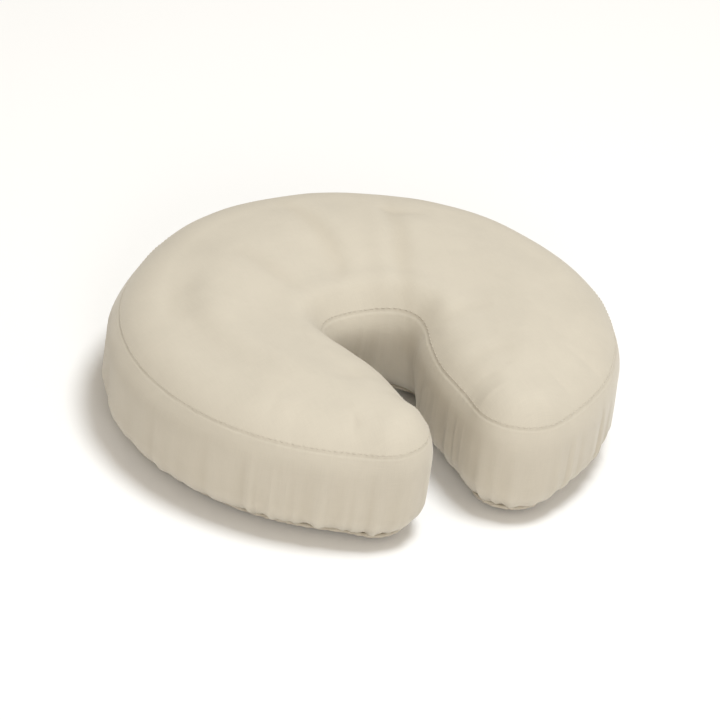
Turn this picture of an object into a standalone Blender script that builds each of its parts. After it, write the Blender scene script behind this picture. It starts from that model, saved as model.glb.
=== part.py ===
"""Face cradle cushion: a crescent cushion with a keyhole face opening, for the head end of a massage table.

Built from the inside out: two foam layers, a fibre wrap, a sewn vinyl casing with a zip across its underside,
two loop strips that hold it to the cradle, two air vents, and a fitted cotton cover with an elastic hem.

Frame: +Z up, origin under the middle of the cushion on the plane that it rests on, +Y towards the crown of the
head, the open chin end at -Y, +X across. Everything is in metres.
"""

import math

import bmesh
import bpy
from mathutils import Matrix, Vector

# ---------------------------------------------------------------- driving dimensions
HALF_WIDTH = 0.158  # across, over the cover
HALF_LENGTH = 0.148  # crown to chin, over the cover
THICK = 0.086  # at the crest of the band
THICK_EDGE = 0.083  # where the top starts to round over
TOP_R = 0.032  # rounding of the top edge
BASE_Z = 0.0001
BASE_R = 0.040  # how far the bottom edge rounds in
BASE_H = 0.026  # and up

GAP = 0.015  # half the gap between the lobes at the chin
NECK_Y = -0.070  # where the gap starts to widen
NECK_R = 0.093
NECK_ANGLE = math.radians(30)
CROWN_FLAT = 0.68  # how far the opening's crown end is flattened
TIP_R = 0.033  # rounding of each lobe's end

COVER_T = 0.0010
CASING_OFF, CASING_T = 0.0022, 0.0014
WRAP_OFF, WRAP_T = 0.0040, 0.0040
BASE_FOAM_OFF = 0.0045
TOP_FOAM_OFF = WRAP_OFF + WRAP_T + 0.0012
FOAM_SPLIT_Z = 0.046
SEAM_GAP = 0.00035

COVER_SEAM = 30  # cover: top panel to skirt, in degrees up the top rounding
CASING_SEAM = 12  # casing: top panel to boxing
HEM_FROM, HEM_TO = 25, 38  # degrees on the bottom rounding
HEM_OUT, HEM_IN = -0.0014, 0.0018  # the hem's outer and inner face, as depths below the cover's surface

VALLEY = 0.0065  # how far the band dips at the middle of the crown

LOOP_T, LOOP_W = 0.0020, 0.025
ZIP_Y = 0.0755
ZIP_HALF = 0.066  # half the length of the slot
ZIP_SLOT = 0.0058  # half its width
COIL_FROM, COIL_TO = -0.0552, 0.0600
TEETH = 36
SLIDER_X = 0.0538  # closed; it opens to -0.0490
TAPE_Z = 0.0099
COIL_Z, COIL_H = 0.0075, 0.0021
COIL_IN, COIL_W = 0.00075, 0.0023
PULL_Z = 0.0047  # the pull tab's hinge

VENT_Z = 0.036

# ---------------------------------------------------------------- scene and materials
for old in list(bpy.data.objects):
    bpy.data.objects.remove(old, do_unlink=True)

parts = bpy.data.collections.new("face_cradle_cushion")
helpers = bpy.data.collections.new("cutters")
bpy.context.scene.collection.children.link(parts)
bpy.context.scene.collection.children.link(helpers)


def material(name, rgb, rough, metal=0.0):
    m = bpy.data.materials.new(name)
    m.use_nodes = True
    shader = m.node_tree.nodes["Principled BSDF"]
    shader.inputs["Base Color"].default_value = (*rgb, 1)
    shader.inputs["Roughness"].default_value = rough
    shader.inputs["Metallic"].default_value = metal
    return m


COTTON = ("cotton", (0.64, 0.57, 0.46), 0.9)
ELASTIC = ("elastic", (0.80, 0.78, 0.74), 0.8)
VINYL = ("vinyl", (0.60, 0.52, 0.40), 0.45)
LOOP = ("loop_fabric", (0.045, 0.043, 0.040), 0.95)
FIBRE = ("fibre", (0.88, 0.88, 0.86), 1.0)
MEMORY = ("memory_foam", (0.78, 0.66, 0.38), 0.95)
FIRM = ("firm_foam", (0.60, 0.63, 0.66), 0.95)
TAPE = ("zip_tape", (0.50, 0.43, 0.33), 0.85)
NYLON = ("zip_nylon", (0.56, 0.49, 0.38), 0.4)
METAL = ("nickel", (0.62, 0.60, 0.56), 0.3, 1.0)


def finish(obj, finish_of, smooth=True):
    """Puts an object in the collection with its own material."""
    name, rgb, rough, *metal = finish_of
    obj.data.materials.clear()
    obj.data.materials.append(material(obj.name + "_" + name, rgb, rough, *metal))
    for c in list(obj.users_collection):
        c.objects.unlink(obj)
    parts.objects.link(obj)
    if smooth and obj.type == "MESH":
        obj.data.shade_smooth()
        obj.data.set_sharp_from_angle(angle=math.radians(40))
    return obj


def as_object(name, bm, finish_of=None, smooth=True):
    mesh = bpy.data.meshes.new(name)
    bm.to_mesh(mesh)
    bm.free()
    obj = bpy.data.objects.new(name, mesh)
    bpy.context.scene.collection.objects.link(obj)
    return finish(obj, finish_of, smooth) if finish_of else obj


def as_cutter(obj):
    for c in list(obj.users_collection):
        c.objects.unlink(obj)
    helpers.objects.link(obj)
    obj.hide_render = True
    obj.display_type = "WIRE"
    return obj


def boolean(obj, other, operation="DIFFERENCE"):
    m = obj.modifiers.new(operation.lower() + "_" + other.name, "BOOLEAN")
    m.operation = operation
    m.solver = "EXACT"
    m.object = other
    return obj


def face_out(bm):
    """Turns every face of a closed body outwards."""
    bmesh.ops.recalc_face_normals(bm, faces=bm.faces)
    if bm.calc_volume(signed=True) < 0:
        bmesh.ops.reverse_faces(bm, faces=bm.faces)


def add_box(bm, lo, hi):
    """A box between two corners, added to bm."""
    lo, hi = Vector(lo), Vector(hi)
    made = bmesh.ops.create_cube(bm, size=1.0)["verts"]
    for v in made:
        v.co = Vector(((lo[i] + hi[i]) / 2 + v.co[i] * (hi[i] - lo[i])) for i in range(3))
    return made


def box_object(name, lo, hi, finish_of=None, bevel=0.0):
    bm = bmesh.new()
    add_box(bm, lo, hi)
    obj = as_object(name, bm, finish_of, smooth=False)
    if bevel:
        m = obj.modifiers.new("bevel", "BEVEL")
        m.width, m.segments, m.limit_method = bevel, 1, "ANGLE"
    return obj


# ---------------------------------------------------------------- plan of the crescent
def nearest_on_ellipse(p):
    """The nearest point of the outer ellipse, and its distance."""
    best = min(
        range(360),
        key=lambda i: (HALF_WIDTH * math.cos(math.radians(i)) - p.x) ** 2
        + (HALF_LENGTH * math.sin(math.radians(i)) - p.y) ** 2,
    )
    t, step = math.radians(best), math.radians(1)
    at = lambda a: Vector((HALF_WIDTH * math.cos(a), HALF_LENGTH * math.sin(a)))
    while step > 1e-8:
        t = min((t - step, t, t + step), key=lambda a: (at(a) - p).length)
        step *= 0.6
    return at(t), (at(t) - p).length


def solve(f, lo, hi):
    """Bisection for a falling f."""
    for _ in range(60):
        mid = (lo + hi) / 2
        lo, hi = (mid, hi) if f(mid) > 0 else (lo, mid)
    return (lo + hi) / 2


def inner_edge():
    """Points of the face opening's edge for x > 0, from chin to crown, each with its direction into the cushion."""
    tip_y = solve(lambda y: TIP_R - nearest_on_ellipse(Vector((GAP + TIP_R, y)))[1], -0.145, -0.06)
    points = [(Vector((GAP, tip_y + (NECK_Y - tip_y) * i / 2)), Vector((1, 0))) for i in range(2)]
    for i in range(3):
        a = NECK_ANGLE * i / 3
        way = Vector((math.cos(a), -math.sin(a)))
        points.append((Vector((GAP + NECK_R, NECK_Y)) - NECK_R * way, way))
    way = Vector((math.cos(NECK_ANGLE), -math.sin(NECK_ANGLE)))
    neck = Vector((GAP + NECK_R, NECK_Y)) - NECK_R * way
    bulb_r = neck.x / math.cos(NECK_ANGLE)
    bulb_y = neck.y + bulb_r * math.sin(NECK_ANGLE)
    for i in range(10):
        a = -NECK_ANGLE + (math.pi / 2 + NECK_ANGLE) * i / 9
        flat = CROWN_FLAT if a > 0 else 1.0
        spot = Vector((bulb_r * math.cos(a), bulb_y + bulb_r * flat * math.sin(a)))
        points.append((spot, Vector((math.cos(a), math.sin(a) / flat)).normalized()))
    return points


def plan():
    """The closed outline as (edge point, crest point) pairs, clockwise from the middle of the crown's outer edge."""
    inner, crest, outer = [], [], []
    for p, way in inner_edge():
        r = solve(lambda r: nearest_on_ellipse(p + r * way)[1] - r, 0.01, 0.12)
        inner.append(p)
        crest.append(p + r * way)
        outer.append(nearest_on_ellipse(p + r * way)[0])
    for row in (inner, crest, outer):
        row[-1].x = 0.0
    a0 = (outer[0] - crest[0]).angle_signed(Vector((-1, 0)))
    a0 = a0 if a0 > 0 else a0 + 2 * math.pi
    tip = []
    for i in range(1, 5):
        a = a0 * i / 5
        turn = Matrix.Rotation(-a, 2)
        tip.append(crest[0] + turn @ (outer[0] - crest[0]))
    n = len(inner)
    right = [(outer[i], crest[i]) for i in range(n - 1, -1, -1)]
    right += [(t, crest[0]) for t in tip]
    right += [(inner[i], crest[i]) for i in range(n)]
    flip = lambda p: Vector((-p.x, p.y))
    left = [(flip(e), flip(c)) for e, c in reversed(right[1:-1])]
    return right + left, crest


RING, CREST = plan()
N_RING = len(RING)
N_SIDE = len(CREST)
# Where the outer and the inner wall meet, just inside each lobe's end. Fractions of an index lie between stations, and
# every station off the crest line has its partner on the other side of the band.
SEAM_AT = N_SIDE + 4.4
PARTNER = N_SIDE - 1.4
WALL_ENDS = [SEAM_AT, SEAM_AT + 0.03, PARTNER, PARTNER - 0.03]
STATIONS = sorted([*range(N_RING), *WALL_ENDS, *(N_RING - i for i in WALL_ENDS)])
OUTER = [i - N_RING for i in STATIONS if i >= N_RING - SEAM_AT] + [i for i in STATIONS if i <= SEAM_AT]
INNER = [i for i in STATIONS if SEAM_AT < i < N_RING - SEAM_AT]


def valley(x, y):
    """The shallow dip across the middle of the crown, deepest at the face opening."""
    along = min(1.0, max(0.0, (HALF_LENGTH - 0.006 - y) / 0.09)) * min(1.0, max(0.0, (y + 0.03) / 0.05))
    return VALLEY * math.exp(-((x / 0.030) ** 2)) * along * along * (3 - 2 * along)


def ring_at(i):
    """The edge point and the crest point at ring index i."""
    a, t = math.floor(i), i - math.floor(i)
    (edge, crest), (edge_b, crest_b) = RING[a % N_RING], RING[(a + 1) % N_RING]
    return edge.lerp(edge_b, t), crest.lerp(crest_b, t)


def station(i, depth, z, off=0.0):
    """A point at ring index i, that far in from the edge towards the crest, at that height."""
    edge, crest = ring_at(i)
    room = (crest - edge).length
    k = min(1.0, room / 0.043)
    into = room if depth is None else min(room, off + (depth - off) * k)
    p = edge + (crest - edge).normalized() * into
    lift = max(0.0, min(1.0, (z - 0.046) / 0.036))
    if depth is None and lift > 0.5:
        from_tip = (Vector((abs(crest.x), crest.y)) - CREST[0]).length
        z -= (THICK - THICK_EDGE) * (1 - min(1.0, from_tip / 0.035))
    return Vector((p.x, p.y, z - valley(p.x, p.y) * lift * lift * (3 - 2 * lift)))


def top_arc(off, degrees):
    """(depth, height) along the top rounding, at these angles above the side."""
    return [
        (TOP_R - (TOP_R - off) * math.cos(a), THICK_EDGE - TOP_R + (TOP_R - off) * math.sin(a))
        for a in map(math.radians, degrees)
    ]


def base_arc(off, degrees):
    """(depth, height) along the bottom rounding, at these angles from its flat end."""
    return [
        (BASE_R - (BASE_R - off) * math.sin(a), BASE_Z + BASE_H - (BASE_H - off) * math.cos(a))
        for a in map(math.radians, degrees)
    ]


def clean(bm):
    bmesh.ops.remove_doubles(bm, verts=bm.verts, dist=1e-6)
    bmesh.ops.dissolve_degenerate(bm, edges=bm.edges, dist=1e-7)
    face_out(bm)
    return bm


def loft(bm, profile, ring, off=0.0, closed=True, wrap=False):
    """Skins a (depth, height) profile along ring indices. Depth None is the crest line."""
    rows = [[bm.verts.new(station(i, d, z, off)) for d, z in profile] for i in ring]
    pairs = list(zip(rows, rows[1:] + rows[:1] if closed else rows[1:]))
    m = len(profile)
    for a, b in pairs:
        for k in range(m if wrap else m - 1):
            l = (k + 1) % m
            bm.faces.new((a[k], b[k], b[l], a[l]))
    return rows


def solid(name, profile, off, finish_of):
    """A closed band: the profile runs from the crest line, round the edge, back to the crest line."""
    bm = bmesh.new()
    loft(bm, profile, STATIONS, off)
    clean(bm)
    bmesh.ops.triangulate(bm, faces=bm.faces)
    return as_object(name, bm, finish_of)


def skin(name, profile_at, off, thickness, finish_of, ring=None):
    """A sheet of even thickness: the profile at two depths, along the whole ring or a length of it."""
    bm = bmesh.new()
    closed = ring is None
    ring = ring or STATIONS
    face = loft(bm, profile_at(off), ring, off, closed)
    back = loft(bm, profile_at(off + thickness), ring, off + thickness, closed)
    m = len(face[0])
    rims = [0] if profile_at(off)[-1][0] is None else [0, m - 1]
    n = len(ring)
    for k in rims:
        for i in range(n if closed else n - 1):
            j = (i + 1) % n
            bm.faces.new((face[i][k], face[j][k], back[j][k], back[i][k]))
    if not closed:
        for i in (0, n - 1):
            for k in range(m - 1):
                bm.faces.new((face[i][k], face[i][k + 1], back[i][k + 1], back[i][k]))
    return as_object(name, clean(bm), finish_of)


# ---------------------------------------------------------------- foam and fibre
SPLIT = FOAM_SPLIT_Z
base_foam = solid(
    "foam_base_layer",
    [(None, BASE_Z + BASE_FOAM_OFF)]
    + base_arc(BASE_FOAM_OFF, (0, 30, 60, 90))
    + [(BASE_FOAM_OFF, SPLIT - 0.0002), (None, SPLIT - 0.0002)],
    BASE_FOAM_OFF,
    FIRM,
)
solid(
    "foam_comfort_layer",
    [(None, SPLIT + 0.0002), (TOP_FOAM_OFF, SPLIT + 0.0002)]
    + top_arc(TOP_FOAM_OFF, (0, 30, 60, 90))
    + [(None, THICK - TOP_FOAM_OFF)],
    TOP_FOAM_OFF,
    MEMORY,
)
skin(
    "fibre_wrap",
    lambda off: [(off, SPLIT + 0.0004)] + top_arc(off, (0, 30, 60, 90)) + [(None, THICK - off)],
    WRAP_OFF,
    WRAP_T,
    FIBRE,
)

# ---------------------------------------------------------------- sewn vinyl casing
seam = math.degrees(SEAM_GAP / (2 * (TOP_R - CASING_OFF)))
skin(
    "casing_top_panel",
    lambda off: top_arc(off, (CASING_SEAM + seam, 30, 60, 90)) + [(None, THICK - off)],
    CASING_OFF,
    CASING_T,
    VINYL,
)


def boxing(off):
    return base_arc(off, (0, 30, 60, 90)) + top_arc(off, (0, CASING_SEAM - seam))


outer_boxing = skin("casing_outer_boxing", boxing, CASING_OFF, CASING_T, VINYL, OUTER)
skin("casing_inner_boxing", boxing, CASING_OFF, CASING_T, VINYL, INNER)

# The underside is one flat panel, cut as an outline with a slot for the zip.
PANEL_Z = BASE_Z + CASING_OFF


def flat_outline(name, loops, z0, z1, finish_of):
    """A flat piece from closed outlines, the first one solid and the others holes."""
    curve = bpy.data.curves.new(name, "CURVE")
    curve.dimensions, curve.fill_mode = "2D", "BOTH"
    curve.extrude = (z1 - z0) / 2
    for loop in loops:
        s = curve.splines.new("POLY")
        s.points.add(len(loop) - 1)
        for p, (x, y) in zip(s.points, loop):
            p.co = (x, y, 0, 1)
        s.use_cyclic_u = True
    made = bpy.data.objects.new(name + "_curve", curve)
    bpy.context.scene.collection.objects.link(made)
    made.location.z = (z0 + z1) / 2
    bpy.context.view_layer.update()
    mesh = bpy.data.meshes.new_from_object(made.evaluated_get(bpy.context.evaluated_depsgraph_get()))
    bm = bmesh.new()
    bm.from_mesh(mesh)
    bmesh.ops.remove_doubles(bm, verts=bm.verts, dist=1e-6)
    face_out(bm)
    bm.transform(made.matrix_world)
    bpy.data.objects.remove(made)
    bpy.data.meshes.remove(mesh)
    return as_object(name, bm, finish_of, smooth=False)


def rectangle(half_x, half_y, y=ZIP_Y):
    return [(-half_x, y - half_y), (half_x, y - half_y), (half_x, y + half_y), (-half_x, y + half_y)]


panel_edge = [station(i, BASE_R + 4.0 * SEAM_GAP, 0, CASING_OFF) for i in STATIONS]
flat_outline(
    "casing_bottom_panel",
    [[(p.x, p.y) for p in panel_edge], rectangle(ZIP_HALF, ZIP_SLOT)],
    PANEL_Z,
    PANEL_Z + CASING_T,
    VINYL,
)

# ---------------------------------------------------------------- loop strips that grip the cradle
def ribbon(points, half, corner=0.004, steps=3):
    """The outline of a ribbon with rounded corners that follows a line of points."""
    ways = [(points[min(i + 1, len(points) - 1)] - points[max(i - 1, 0)]).normalized() for i in range(len(points))]
    side = [Vector((-w.y, w.x)) for w in ways]
    left = [p + s * half for p, s in zip(points, side)]
    right = [p - s * half for p, s in zip(points, side)]

    def cap(p, way, s):
        made = []
        for first in (1, -1):
            centre = p - way * corner + s * first * (half - corner)
            for i in range(steps + 1):
                a = math.pi / 2 * i / steps
                turn = (s * first, way) if first == 1 else (way, s * first)
                made.append(centre + turn[0] * corner * math.cos(a) + turn[1] * corner * math.sin(a))
        return made

    loop = left[1:-1] + cap(points[-1], ways[-1], side[-1]) + right[1:-1][::-1] + cap(points[0], -ways[0], -side[0])
    return [(p.x, p.y) for p in loop]


line = CREST[1:11]
for name, sign in (("loop_strip_right", 1), ("loop_strip_left", -1)):
    flat_outline(
        name, [[(sign * x, y) for x, y in ribbon(line, LOOP_W / 2)]], 0.0, LOOP_T, LOOP
    )

# ---------------------------------------------------------------- zip across the underside
flat_outline(
    "zip_facing",
    [rectangle(ZIP_HALF + 0.006, ZIP_SLOT + 0.004), rectangle(ZIP_HALF, ZIP_SLOT)],
    PANEL_Z + CASING_T + 0.0003,
    TAPE_Z - 0.0003,
    VINYL,
)
for name, sign in (("zip_tape_rear", 1), ("zip_tape_front", -1)):
    ends = sorted((ZIP_Y + sign * 0.0010, ZIP_Y + sign * 0.0130))
    box_object(
        name, (-ZIP_HALF - 0.004, ends[0], TAPE_Z), (ZIP_HALF + 0.004, ends[1], TAPE_Z + 0.0007), TAPE
    )


def coil_row(name, sign):
    """One row of the zip's coil: a strip with a tooth every 3.2 mm on the side that meets the other row."""
    teeth, back = TEETH, 0.0010
    pitch = (COIL_TO - COIL_FROM) / teeth
    x0 = COIL_FROM
    near, far = COIL_IN, COIL_IN + COIL_W
    loop = [(x0, far)]
    for i in range(teeth):
        x = x0 + pitch * i
        loop += [(x, far - back), (x + 0.25 * pitch, near), (x + 0.75 * pitch, near)]
    loop += [(x0 + pitch * teeth, far - back), (x0 + pitch * teeth, far)]
    return flat_outline(
        name, [[(x, ZIP_Y + sign * y) for x, y in loop]], COIL_Z, COIL_Z + COIL_H, NYLON
    )


coil_row("zip_coil_rear", 1)
coil_row("zip_coil_front", -1)
for name, x in (("zip_top_stop", COIL_TO + 0.0025), ("zip_bottom_stop", COIL_FROM - 0.0025)):
    box_object(
        name,
        (x - 0.0022, ZIP_Y - 0.0034, COIL_Z),
        (x + 0.0022, ZIP_Y + 0.0034, COIL_Z + COIL_H),
        METAL,
        bevel=0.0004,
    )

# Slider: an outer and an inner plate joined by a thin post that runs between the two rows, with flanges and a bail.
zip_axis = bpy.data.objects.new("zip_slider_axis", None)
zip_axis.location = (SLIDER_X, ZIP_Y, COIL_Z)
parts.objects.link(zip_axis)
OUT_Z = COIL_Z - 0.0003  # the outer plate's inner face
slider = box_object(
    "zip_slider", (-0.0060, -0.0046, OUT_Z - 0.0011 - COIL_Z), (0.0060, 0.0046, OUT_Z - COIL_Z), METAL, bevel=0.0004
)
slider.parent = zip_axis
IN_Z = TAPE_Z + 0.0010 - COIL_Z


def slider_piece(lo, hi):
    piece = as_cutter(box_object("slider_cut", lo, hi))
    piece.parent = zip_axis
    boolean(slider, piece, "UNION")


slider_piece((-0.0050, -0.0042, IN_Z), (0.0050, 0.0042, IN_Z + 0.0010))
slider_piece((0.0015, -0.00045, OUT_Z - 0.0005 - COIL_Z), (0.0045, 0.00045, IN_Z + 0.0005))
for side in (1, -1):
    y = sorted((side * 0.0034, side * 0.0045))
    slider_piece((-0.0052, y[0], OUT_Z - 0.0005 - COIL_Z), (0.0052, y[1], TAPE_Z - 0.0004 - COIL_Z))

bail_curve = bpy.data.curves.new("bail", "CURVE")
bail_curve.dimensions = "3D"
bail_curve.bevel_depth, bail_curve.bevel_resolution, bail_curve.use_fill_caps = 0.0005, 1, True
s = bail_curve.splines.new("POLY")
plate = OUT_Z - 0.0011
low = PULL_Z - 0.0018
bail = [(-0.0031, plate + 0.0004), (-0.0031, low + 0.0008), (-0.0022, low), (0.0022, low), (0.0031, low + 0.0008), (0.0031, plate + 0.0004)]
s.points.add(len(bail) - 1)
for p, (x, z) in zip(s.points, bail):
    p.co = (x, 0, z - COIL_Z, 1)
bail_obj = bpy.data.objects.new("bail_curve", bail_curve)
bpy.context.scene.collection.objects.link(bail_obj)
bpy.context.view_layer.update()
bail_mesh = bpy.data.meshes.new_from_object(bail_obj.evaluated_get(bpy.context.evaluated_depsgraph_get()))
bm = bmesh.new()
bm.from_mesh(bail_mesh)
bmesh.ops.remove_doubles(bm, verts=bm.verts, dist=1e-6)
face_out(bm)
bpy.data.objects.remove(bail_obj)
bail_cut = as_cutter(as_object("slider_bail", bm))
bail_cut.parent = zip_axis
boolean(slider, bail_cut, "UNION")

# Pull tab: its end bar lies inside the bail, and it turns about that bar.
pull_axis = bpy.data.objects.new("zip_pull_axis", None)
pull_axis.location = (SLIDER_X, ZIP_Y, PULL_Z)
parts.objects.link(pull_axis)
half_t = 0.00065
outline = [(0.0007, -0.0026), (0.0007, 0.0026), (-0.0052, 0.0031), (-0.0116, 0.0034), (-0.0147, 0.0026), (-0.0157, 0.0010),
           (-0.0157, -0.0010), (-0.0147, -0.0026), (-0.0116, -0.0034), (-0.0052, -0.0031)]
window = [(-0.0007, -0.0013), (-0.0007, 0.0013), (-0.0046, 0.0015), (-0.0046, -0.0015)]
tab = flat_outline("zip_pull_tab", [outline, window], -half_t, half_t, METAL)
tab.parent = pull_axis

# ---------------------------------------------------------------- air vents in the boxing
for name, side in (("left", -1), ("right", 1)):
    # the flat of the outer edge that is nearest to the widest point
    ends = [(ring_at(a)[0], ring_at(b)[0]) for a, b in zip(OUTER, OUTER[1:])]
    a, b = min(ends, key=lambda e: ((e[0] + e[1]) / 2 - Vector((side * HALF_WIDTH, 0))).length)
    along = (b - a).normalized()
    out = Vector((along.y, -along.x)) * (1 if Vector((along.y, -along.x)).x * side > 0 else -1)
    spot = (a + b) / 2
    turn = Matrix(((0, along.x, out.x, 0), (0, along.y, out.y, 0), (1, 0, 0, 0), (0, 0, 0, 1)))
    if turn.determinant() < 0:
        turn = Matrix(((0, -along.x, out.x, 0), (0, -along.y, out.y, 0), (1, 0, 0, 0), (0, 0, 0, 1)))
    place = Matrix.Translation((spot.x, spot.y, VENT_Z)) @ turn

    def turned(label, profile):
        """A profile of (radius, height) turned about the vent's axis."""
        bm = bmesh.new()
        verts = [bm.verts.new((r, 0, h)) for r, h in profile]
        edges = [bm.edges.new((verts[i], verts[(i + 1) % len(verts)])) for i in range(len(verts))]
        bmesh.ops.spin(
            bm, geom=verts + edges, cent=(0, 0, 0), axis=(0, 0, 1), angle=2 * math.pi, steps=18, use_merge=True
        )
        bmesh.ops.remove_doubles(bm, verts=bm.verts, dist=1e-6)
        face_out(bm)
        obj = as_object(label, bm, METAL)
        obj.matrix_world = place
        return obj

    turned("vent_eyelet_" + name, [(0.0026, -0.0013), (0.0058, -0.0014), (0.0058, -0.0019), (0.0036, -0.0019), (0.0036, -0.0052), (0.0026, -0.0052)])
    turned("vent_washer_" + name, [(0.0039, -0.0039), (0.0060, -0.0039), (0.0060, -0.0045), (0.0039, -0.0045)])

    def round_cutter(label, radius, from_z, to_z):
        bm = bmesh.new()
        bmesh.ops.create_cone(
            bm, cap_ends=True, segments=16, radius1=radius, radius2=radius, depth=to_z - from_z
        )
        for v in bm.verts:
            v.co.z += (from_z + to_z) / 2
        obj = as_cutter(as_object(label, bm))
        obj.matrix_world = place
        return obj

    boolean(outer_boxing, round_cutter("vent_hole_" + name, 0.0039, -0.0060, 0.0020))
    boolean(base_foam, round_cutter("vent_pocket_" + name, 0.0068, -0.0060, 0.0020))

recess = as_cutter(
    box_object("zip_recess", (-ZIP_HALF - 0.0075, ZIP_Y - 0.0145, -0.002), (ZIP_HALF + 0.0075, ZIP_Y + 0.0145, 0.0130))
)
boolean(base_foam, recess)

# ---------------------------------------------------------------- fitted cotton cover
seam = math.degrees(SEAM_GAP / (2 * TOP_R))
skin(
    "cover_top_panel",
    lambda off: top_arc(off, (COVER_SEAM + seam, 60, 90)) + [(None, THICK - off)],
    0.0,
    COVER_T,
    COTTON,
)


def skirt(off):
    return base_arc(off, (HEM_TO + 0.7, 60, 90)) + top_arc(off, (0, COVER_SEAM - seam))


skin("cover_outer_skirt", skirt, 0.0, COVER_T, COTTON, OUTER)
skin("cover_inner_skirt", skirt, 0.0, COVER_T, COTTON, INNER)


def hem_part(name, corners, finish_of):
    """A band along the cover's edge, from its section as (depth below the cover, fraction up the hem) corners."""
    section = [base_arc(off, [HEM_FROM + (HEM_TO - HEM_FROM) * t])[0] for off, t in corners]
    bm = bmesh.new()
    loft(bm, section, STATIONS, 0.0, closed=True, wrap=True)
    return as_object(name, clean(bm), finish_of)


# The hem is the cover's edge folded back on itself: a C in section, with the elastic lying in the fold.
WALL = 0.0007
o, n = HEM_OUT + WALL, HEM_IN - WALL
hem_part(
    "cover_hem_casing",
    [(HEM_OUT, 1), (HEM_OUT, 0), (HEM_IN, 0), (HEM_IN, 1), (n, 1), (n, 0.16), (o, 0.16), (o, 1)],
    COTTON,
)
o, n = o + 0.0004, n - 0.0004
hem_part("cover_hem_elastic", [(o, 0.94), (o, 0.24), (n, 0.24), (n, 0.94)], ELASTIC)

# The plan was drawn about the outer ellipse's centre; the frame's origin is under the middle of the whole outline.
SHIFT = (max(e.y for e, _ in RING) + min(e.y for e, _ in RING)) / 2
bpy.context.view_layer.update()
for obj in [o for o in bpy.data.objects if o.parent is None]:
    obj.matrix_world = Matrix.Translation((0, -SHIFT, 0)) @ obj.matrix_world
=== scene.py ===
"""Face cradle cushion: the looks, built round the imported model.

The cover, casing and core are lofted along the cushion's plan, the same crescent that the CAD nodes follow; the
cover is then puffed and gathered by a cloth simulation and given its seams, hem and creases.
"""

import math

import bmesh
import bpy
import numpy as np
from mathutils import Matrix, Vector, noise
from mathutils.kdtree import KDTree


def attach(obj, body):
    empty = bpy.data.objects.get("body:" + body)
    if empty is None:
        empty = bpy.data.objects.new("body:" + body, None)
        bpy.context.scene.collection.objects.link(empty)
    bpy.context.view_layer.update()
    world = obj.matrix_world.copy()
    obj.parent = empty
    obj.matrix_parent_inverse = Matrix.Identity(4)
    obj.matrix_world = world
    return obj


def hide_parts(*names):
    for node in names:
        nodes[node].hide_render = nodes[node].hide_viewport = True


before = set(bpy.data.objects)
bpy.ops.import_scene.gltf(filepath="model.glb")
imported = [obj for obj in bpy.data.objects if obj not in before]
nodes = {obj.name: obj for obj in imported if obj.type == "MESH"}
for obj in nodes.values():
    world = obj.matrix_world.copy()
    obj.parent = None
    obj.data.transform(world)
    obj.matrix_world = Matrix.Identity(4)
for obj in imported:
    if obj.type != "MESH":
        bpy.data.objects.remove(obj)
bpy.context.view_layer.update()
scene = bpy.context.scene

# ---------------------------------------------------------------- the cushion's plan, as in the CAD
A, B, SHIFT = 0.158, 0.148, 0.0044178
THICK, THICK_EDGE, TOP_R = 0.086, 0.083, 0.032
BASE_Z, BASE_R, BASE_H = 0.0001, 0.040, 0.026
GAP, NECK_Y, NECK_R, NECK_ANGLE, CROWN_FLAT, TIP_R = 0.015, -0.070, 0.093, math.radians(30), 0.68, 0.033
VALLEY = 0.0065
CASING_OFF, CASING_T = 0.0022, 0.0014
ZIP_Y, ZIP_HALF, ZIP_SLOT = 0.0755 - SHIFT, 0.066, 0.0058
HEM_FROM, HEM_TO = 25, 38


def smooth(t):
    t = np.clip(t, 0, 1)
    return t * t * (3 - 2 * t)


def nearest(p):
    """The nearest points of the outer ellipse."""
    x, y = p[:, 0], p[:, 1]
    t = np.arctan2(y / B, x / A)
    for _ in range(30):
        c, s = np.cos(t), np.sin(t)
        g = -(A * c - x) * A * s + (B * s - y) * B * c
        h = A * A * s * s - (A * c - x) * A * c + B * B * c * c - (B * s - y) * B * s
        t = t - np.clip(g / h, -0.2, 0.2)
    return np.stack([A * np.cos(t), B * np.sin(t)], -1)


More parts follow.
